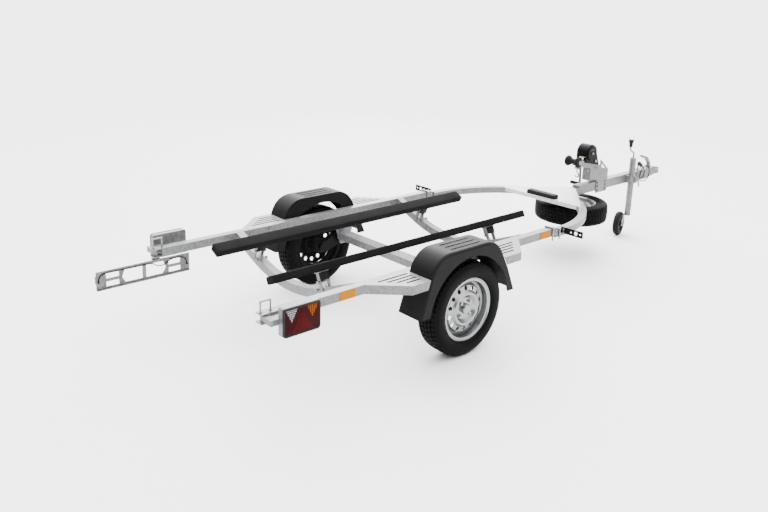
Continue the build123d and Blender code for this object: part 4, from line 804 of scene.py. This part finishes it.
def facing(x, station, z, normal):
    """Puts a bolt's foot at a point with its head along a normal."""
    turn = Vector(normal).to_track_quat("Z", "Y").to_matrix().to_4x4()
    return Matrix.Translation((x, at(station), z)) @ turn


def u_bolt(x_in, x_out, y, low, high, rod):
    """Square U-bolt round a rail, its bow up and its ends below."""
    parts = [add_rod(rod, (x, y, low - 0.012), (x, y, high + rod)) for x in (x_in - rod, x_out + rod)]
    parts.append(add_rod(rod, (x_in - rod, y, high + rod), (x_out + rod, y, high + rod)))
    return parts


class TRAILER_OT_fittings(bpy.types.Operator):
    """Adds the frame's bolts, clamps and latch pulls"""
    bl_idname = "trailer.fittings"
    bl_label = "Frame fittings"

    def bunk_bolts(self, side):
        """Two bolts, one over the other, on the front and rear faces of the bunk bracket at each crossbar."""
        foot_x, foot_z, face, leaning = 0.292, 0.420, 0.0301, 0.3
        return [facing(side * (foot_x + leaning * lift), station + ahead * face, foot_z + lift, (0, ahead, 0))
                for station in CROSSBARS for ahead in (-1, 1) for lift in (0.0, 0.045)]

    def rail_bolts(self, side):
        """Small bolts under the rail's brackets, through its inner face and in the marker plate's foot."""
        middle, under, marker_x, marker_face = 0.565, 0.4659, 0.604, 1.0300
        return ([facing(side * middle, station, under, (0, 0, -1)) for station in (0.075, 0.225)]
                + [facing(side * 0.5325, station, 0.497, (-side, 0, 0)) for station in (-0.600, -0.460, 0.440, 0.570)]
                + [facing(side * marker_x, marker_face, z, (0, -1, 0)) for z in (0.486, 0.508)])

    def clamp_bolts(self):
        """Bolts through the winch stand's clamp on the drawbar."""
        face = 0.0351
        return [facing(side * face, station, z, (side, 0, 0))
                for z in (0.450, 0.482, 0.512) for station in (2.290, 2.396) for side in (-1, 1)]

    def execute(self, context):
        large, small = [], []
        for side in SIDES.values():
            large += self.bunk_bolts(side)
            small += self.rail_bolts(side)
        large += self.clamp_bolts()
        fit(scatter(hex_bolt(0.0095, 0.007), large), "bracket_bolts", "frame", "zinc")
        fit(scatter(hex_bolt(0.0075, 0.0055), small), "step_bolts", "frame", "zinc")
        clamps, pulls = [], []
        clamp_rod, clamp_foot = 0.0055, 0.458
        pull_rod, pull_nut = 0.0046, 0.0072
        for side in (-1, 1):
            for station, top in ((0.940, 0.5222), (1.012, 0.5035)):
                x_in, x_out = sorted((side * RAIL_INNER, side * RAIL_OUTER))
                clamps += u_bolt(x_in, x_out, at(station), clamp_foot, top, clamp_rod)
            x, rear, front, low, high = side * 0.558, at(-1.240), at(-1.184), 0.517, 0.577
            corners = [(x, rear, low), (x, rear, high), (x, front, high), (x, front, low)]
            pulls += [add_rod(pull_rod, start, end) for start, end in zip(corners, corners[1:])]
            pulls += [add_rod(pull_nut, (x, y, low + 0.004), (x, y, low + 0.011)) for y in (rear, front)]
        fit(join(clamps), "rail_clamps", "frame", "zinc")
        fit(join(pulls), "latch_pulls", "frame", "zinc", ["latch_rings"])
        return {"FINISHED"}


class TRAILER_OT_grips(bpy.types.Operator):
    """Adds the bunks' packing rubbers, the crank's grip, the jockey knob and the winch's bolts and label"""
    bl_idname = "trailer.grips"
    bl_label = "Grips and packing"

    def execute(self, context):
        sizes = context.scene.trailer_bunk
        half_wide, half_long, deep = 0.0215, 0.0298, 0.0435
        under = -sizes.thickness / 2 - 0.004
        crank_axis = (0, at(2.2163), 0.4911)
        jockey_spindle = (0.065, at(2.6731), 0)
        blocks = []
        for side in SIDES.values():
            for station in CROSSBARS:
                block = add_box((-half_wide, -half_long, under - deep), (half_wide, half_long, under - 0.0004))
                bevel(block, 0.0025, 2)
                blocks.append(set_down(move(block, board_matrix(side, sizes.tilt, station))))
        fit(join(blocks), "packing_rubbers", "frame", "rubber")
        grip = ring_of_profile([(-0.1662, 0.0020), (-0.1662, 0.0105), (-0.1645, 0.0126), (-0.1500, 0.0136),
                                (-0.1280, 0.0128), (-0.1050, 0.0134), (-0.0915, 0.0126), (-0.0905, 0.0115),
                                (-0.0905, 0.0020)], 28)
        fit(move(grip, Matrix.Translation(crank_axis)), "crank_grip", "winch_crank", "rubber")
        knob = ring_of_profile([(0.7645, 0.0020), (0.7645, 0.0136), (0.7800, 0.0138), (0.7960, 0.0150),
                                (0.8040, 0.0185), (0.8070, 0.0206), (0.8220, 0.0208), (0.8256, 0.0190),
                                (0.8256, 0.0020)], 32)
        upright = Matrix.Translation(jockey_spindle) @ Matrix.Rotation(-pi / 2, 4, "Y")
        fit(move(knob, upright), "jockey_knob", "frame", "plastic")
        bolts = [facing(x, station, z, ALONG_X) for x, station, z in (
            (0.0541, 2.150, 0.770), (0.0451, 2.238, 0.640), (0.0451, 2.112, 0.640), (0.0451, 2.215, 0.700))]
        fit(scatter(hex_bolt(0.0085, 0.006), bolts), "winch_bolts", "frame", "zinc")
        label = add_box((0.0538, at(2.122), 0.7905), (0.0546, at(2.178), 0.8075))
        fit(bevel(label, 0.0003, 1), "winch_label", "frame", "plastic")
        return {"FINISHED"}


class TRAILER_OT_boots(bpy.types.Operator):
    """Adds the tapered boots where the cables leave their housings"""
    bl_idname = "trailer.boots"
    bl_label = "Cable boots"

    def execute(self, context):
        sizes = context.scene.trailer_cables
        ends = (("gland_boot", PLUG_CABLE_ROUTE[:2], sizes.plug, "frame"),
                ("plug_boot", PLUG_CABLE_ROUTE[:-3:-1], sizes.plug, "frame"),
                ("plate_boot_rear", PLATE_CABLE_ROUTE[:2], sizes.plate, "lamp_unit_left"),
                ("plate_boot_front", PLATE_CABLE_ROUTE[:-3:-1], sizes.plate, "lamp_unit_left"))
        for name, route_end, diameter, body in ends:
            start, ahead = (Vector((x, at(station), z)) for x, station, z in route_end)
            r = diameter / 2
            boot = ring_of_profile([(0.0, r * 1.8), (0.004, r * 1.8), (0.005, r * 1.45), (0.007, r * 1.6),
                                    (0.008, r * 1.35), (0.011, r * 1.45), (0.012, r * 1.2), (0.017, r * 1.1),
                                    (0.017, r * 0.5), (0.0, r * 0.5)], 20)
            turn = (ahead - start).to_track_quat("X", "Z").to_matrix().to_4x4()
            fit(move(boot, Matrix.Translation(start) @ turn), name, body, "rubber")
        return {"FINISHED"}


def add_slab(corners, low, high):
    """Level slab over four (X, station) corners: rear inner, rear outer, front inner, front outer."""
    slab = set_down(add_box((-1, -1, low), (1, 1, high)))
    for vert in slab.data.vertices:
        x, station = corners[(vert.co.x > 0) + 2 * (vert.co.y > 0)]
        vert.co = (x, at(station), vert.co.z)
    return slab


def add_arch_rim(radius, x, thick):
    """Rolled rim round the wheel opening, from the rear foot over the top to the front foot."""
    deselect()
    line = bpy.data.curves.new("rim", "CURVE")
    line.dimensions = "3D"
    line.bevel_depth = thick
    line.bevel_resolution = 3
    line.use_fill_caps = True
    spline = line.splines.new("POLY")
    first, last, count = radians(8.5), radians(171.5), 48
    reach = radius + 0.6 * thick
    spline.points.add(count)
    for k, point in enumerate(spline.points):
        turn = first + (last - first) * k / count
        point.co = (x - thick, at(0) + reach * cos(turn), WHEEL_Z + reach * sin(turn), 1)
    rim = bpy.data.objects.new("rim", line)
    bpy.context.collection.objects.link(rim)
    pick(rim)
    bpy.ops.object.convert(target="MESH")
    return bpy.context.object


class TRAILER_OT_guard_ribs(bpy.types.Operator):
    """Adds the mudguards' ribs and rolled rims, and their flanges under the steps"""
    bl_idname = "trailer.guard_ribs"
    bl_label = "Mudguard ribs"

    def execute(self, context):
        half_rib, rib_low, rib_high, guard_outer = 0.0045, 0.6405, 0.6438, 0.7492
        flange_low, flange_high = 0.5160, 0.5186
        rear_flange = ((0.588, -0.618), (0.738, -0.438), (0.588, -0.317), (0.738, -0.317))
        front_flange = ((0.588, 0.277), (0.738, 0.277), (0.588, 0.590), (0.738, 0.419))
        for name, side in SIDES.items():
            ribs = []
            for x in (0.618, 0.660, 0.702):
                rib = add_box((x - half_rib, at(-0.128), rib_low), (x + half_rib, at(0.096), rib_high))
                ribs.append(bevel(rib, 0.0016, 2))
            ribs.append(add_arch_rim(MUDGUARD_MOUTH, guard_outer, 0.0035))
            for corners in (rear_flange, front_flange):
                ribs.append(bevel(add_slab(corners, flange_low, flange_high), 0.0004, 1))
            fit(move(join(ribs), handed(side)), "guard_ribs_" + name, "frame", "guard")
        return {"FINISHED"}


def triangle_prism(corners, x0, x1):
    """Upright three-sided slab between two X planes from (station, Z) corners."""
    deselect()
    bpy.ops.mesh.primitive_cylinder_add(vertices=3, radius=1, depth=1)
    slab = bpy.context.object
    for vert in slab.data.vertices:
        turn = int(round(atan2(vert.co.x, vert.co.y) / (2 * pi / 3))) % 3
        station, z = corners[turn]
        vert.co = (x1 if vert.co.z > 0 else x0, at(station), z)
    return slab


def round_slab(slab, radius):
    """Rounds the four corners of a slab that stand along X."""
    open_edit(slab, "EDGE")
    close_edit()
    for edge in slab.data.edges:
        a, b = (slab.data.vertices[v].co for v in edge.vertices)
        edge.select = abs(a.x - b.x) > 0.6 * (a - b).length
    bpy.ops.object.mode_set(mode="EDIT")
    bpy.ops.mesh.bevel(offset=radius, segments=6, affect="EDGES")
    close_edit()


class TRAILER_OT_lamps(bpy.types.Operator):
    """Builds the lamps' bezels, lenses and reflectors"""
    bl_idname = "trailer.lamps"
    bl_label = "Lamps"

    def execute(self, context):
        rear, front, low, high = -1.199, -0.987, 0.426, 0.570
        wall, back, lens_back, lens_front = 0.0087, 0.6752, 0.6790, 0.6846
        field_back, field_front, bezel_front = 0.6840, 0.6856, 0.6858
        top, tip = high - 0.0125, high - 0.0745
        fields = {
            "clear": ([(-1.184, top), (-1.120, top), (-1.152, tip)], "lens_clear"),
            "amber": ([(-1.066, top), (-1.002, top), (-1.034, tip)], "lens_amber"),
            "reflector": ([(-1.158, low + 0.014), (-1.028, low + 0.014), (-1.093, low + 0.116)], "reflector_red"),
        }
        for name, side in SIDES.items():
            body = "lamp_unit_" + name
            bezel = add_box((back, at(rear), low), (bezel_front, at(front), high))
            round_slab(bezel, 0.0170)
            select_faces(bezel, lambda centre, normal: normal.x > 0.9)
            bpy.ops.mesh.inset(thickness=0.0090, depth=0)
            bpy.ops.mesh.inset(thickness=0.0010, depth=-0.0030)
            close_edit()
            bevel(bezel, 0.0010, 2, 50)
            fit(move(bezel, handed(side)), "lamp_bezel_" + name, body, "plastic",
                ["lamp_lens_" + name])
            face = add_box((lens_back, at(rear + wall), low + wall), (lens_front, at(front - wall), high - wall))
            round_slab(face, 0.0090)
            bevel(face, 0.0016, 3, 50)
            fit(move(face, handed(side)), "lamp_lens_face_" + name, body, "lens_red")
            for label, (corners, finish) in fields.items():
                field = bevel(set_down(triangle_prism(corners, field_back, field_front)), 0.0006, 2, 50)
                fit(move(field, handed(side)), f"lamp_{label}_{name}", body, finish)
        return {"FINISHED"}


def platform_half_width(station):
    """Half width of the tread platform, which narrows in two straight runs."""
    wide, knee, tip = (1.582, 0.360), (1.857, 0.147), (1.995, 0.030)
    start, end = (wide, knee) if station <= knee[0] else (knee, tip)
    return start[1] + (end[1] - start[1]) * (station - start[0]) / (end[0] - start[0])


class TRAILER_OT_platform(bpy.types.Operator):
    """Rolls the raised bars of the tread sheet"""
    bl_idname = "trailer.platform"
    bl_label = "Tread bars"

    def execute(self, context):
        half_long, half_wide, height = 0.0105, 0.0022, 0.0011
        rows, columns = 18, 15
        bar = add_box((-half_long, -half_wide, 0), (half_long, half_wide, height))
        select_faces(bar, lambda centre, normal: normal.z > 0.9)
        bpy.ops.transform.resize(value=(0.72, 0.3, 1))
        close_edit()
        pitch, first, sheet_top, margin = 0.0260, 1.5935, 0.50595, 0.016
        pad_front, pad_half = 1.660, 0.137
        places = []
        for row in range(rows):
            station = first + row * pitch
            for column in range(-columns, columns + 1):
                x = column * pitch
                under_pad = station < pad_front and abs(x) < pad_half
                if abs(x) > platform_half_width(station) - margin or under_pad:
                    continue
                lean = radians(45 if (row + column) % 2 else -45)
                places.append(Matrix.Translation((x, at(station), sheet_top)) @ Matrix.Rotation(lean, 4, "Z"))
        fit(scatter(bar, places), "tread_bars", "frame", "tread")
        return {"FINISHED"}


class TRAILER_OT_finishes(bpy.types.Operator):
    """Gives every node of the frame its finish"""
    bl_idname = "trailer.finishes"
    bl_label = "Finishes"

    def execute(self, context):
        by_slot = {
            "zinc": "galvanised", "tread_sheet": "tread", "rubber": "rubber", "guard_plastic": "guard",
            "bunk_rubber": "bunk", "winch_paint": "black", "strap": "strap", "crank_zinc": "zinc",
            "black_paint": "black", "amber_reflector": "reflector_amber", "black_plastic": "plastic",
            "cable_sheath": "sheath", "wire_sheath": "wire", "lamp_lens": "lens_red", "tyre": "tyre",
            "rim_silver": "rim", "hub_zinc": "zinc"}
        own = {"rim_right": "wheel", "rim_left": "wheel", "hub_right": "wheel", "hub_left": "wheel",
               "trailing_arms": "black", "steps_right": "step", "steps_left": "step"}
        slots = {row["node"]: row["material_slot"] for row in frame["record"]["subparts"]}
        for name, obj in frame["nodes"].items():
            made = finished(own.get(name, by_slot[slots[name]]))
            if obj.material_slots:
                for place in obj.material_slots:
                    place.material = made
            else:
                obj.data.materials.append(made)
        return {"FINISHED"}


class TRAILER_OT_stage(bpy.types.Operator):
    """Lays the pale floor and hangs the soft studio lights"""
    bl_idname = "trailer.stage"
    bl_label = "Stage"

    def execute(self, context):
        pale, floor_size = 0.74, 3000
        deselect()
        bpy.ops.mesh.primitive_plane_add(size=floor_size, location=(0, 0, 0))
        floor = context.object
        floor.name = "Floor"
        paint = bpy.data.materials.new("Pale floor")
        paint.use_nodes = True
        shader = paint.node_tree.nodes["Principled BSDF"]
        shader.inputs["Base Color"].default_value = (*grey(pale), 1)
        shader.inputs["Roughness"].default_value = 0.9
        shader.inputs["Specular IOR Level"].default_value = 0.1
        floor.data.materials.append(paint)
        world = bpy.data.worlds.new("Studio")
        world.use_nodes = True
        tree = world.node_tree
        glow, faint = 0.0, 0.12
        toward = node(tree, "TexCoord").outputs["Generated"]
        for middle, edge, bright in (((0, 0, 1), 0.35, 7.5), ((-0.70, 0.56, 0.44), 0.45, 8.5)):
            lean = compute(tree, "DOT_PRODUCT", toward, middle, kind="VectorMath")
            glow = compute(tree, "ADD", glow, span(tree, lean, edge, 1, faint, bright))
        feed(tree, tree.nodes["Background"].inputs["Strength"], glow)
        tree.nodes["Background"].inputs["Color"].default_value = (*grey(1), 1)
        context.scene.world = world
        lamps = {
            "Overhead": ((0.3, 0.2, 4.6), (0, 0, 0), 4.0, 150),
            "Key": ((-4.6, 3.4, 3.6), (0, 0, 0.3), 2.4, 220),
        }
        for name, (place, target, size, power) in lamps.items():
            light = bpy.data.lights.new(name, "AREA")
            light.size = size
            light.energy = power
            lamp = bpy.data.objects.new(name, light)
            context.collection.objects.link(lamp)
            lamp.location = place
            lamp.rotation_euler = (Vector(target) - Vector(place)).to_track_quat("-Z", "Y").to_euler()
        return {"FINISHED"}


class TRAILER_PT_panel(bpy.types.Panel):
    """Lists the steps that dress the trailer"""
    bl_idname = "TRAILER_PT_panel"
    bl_label = "Trailer"
    bl_space_type = "VIEW_3D"
    bl_region_type = "UI"
    bl_category = "Trailer"

    def draw(self, context):
        for step in STEPS:
            self.layout.operator(step.bl_idname)


SETTINGS = {
    "trailer_finish": TrailerFinish, "trailer_view": TrailerView, "trailer_tyre": TrailerTyre,
    "trailer_bunk": TrailerBunk, "trailer_cables": TrailerCables,
}
STEPS = (
    TRAILER_OT_camera, TRAILER_OT_cables, TRAILER_OT_finishes, TRAILER_OT_tyres, TRAILER_OT_bunks,
    TRAILER_OT_grips, TRAILER_OT_boots, TRAILER_OT_guard_ribs, TRAILER_OT_fittings, TRAILER_OT_lamps,
    TRAILER_OT_platform, TRAILER_OT_stage,
)


def register():
    """Registers the settings, operators and panel, and hangs the settings on the scene."""
    for kind in (*SETTINGS.values(), *STEPS, TRAILER_PT_panel):
        bpy.utils.register_class(kind)
    for name, kind in SETTINGS.items():
        setattr(bpy.types.Scene, name, bpy.props.PointerProperty(type=kind))


def unregister():
    """Takes back what register() did."""
    for name in SETTINGS:
        delattr(bpy.types.Scene, name)
    for kind in reversed((*SETTINGS.values(), *STEPS, TRAILER_PT_panel)):
        bpy.utils.unregister_class(kind)


def main():
    """Dresses the trailer step by step."""
    register()
    for step in STEPS:
        area, action = step.bl_idname.split(".")
        getattr(getattr(bpy.ops, area), action)()


if __name__ == "__main__":
    main()
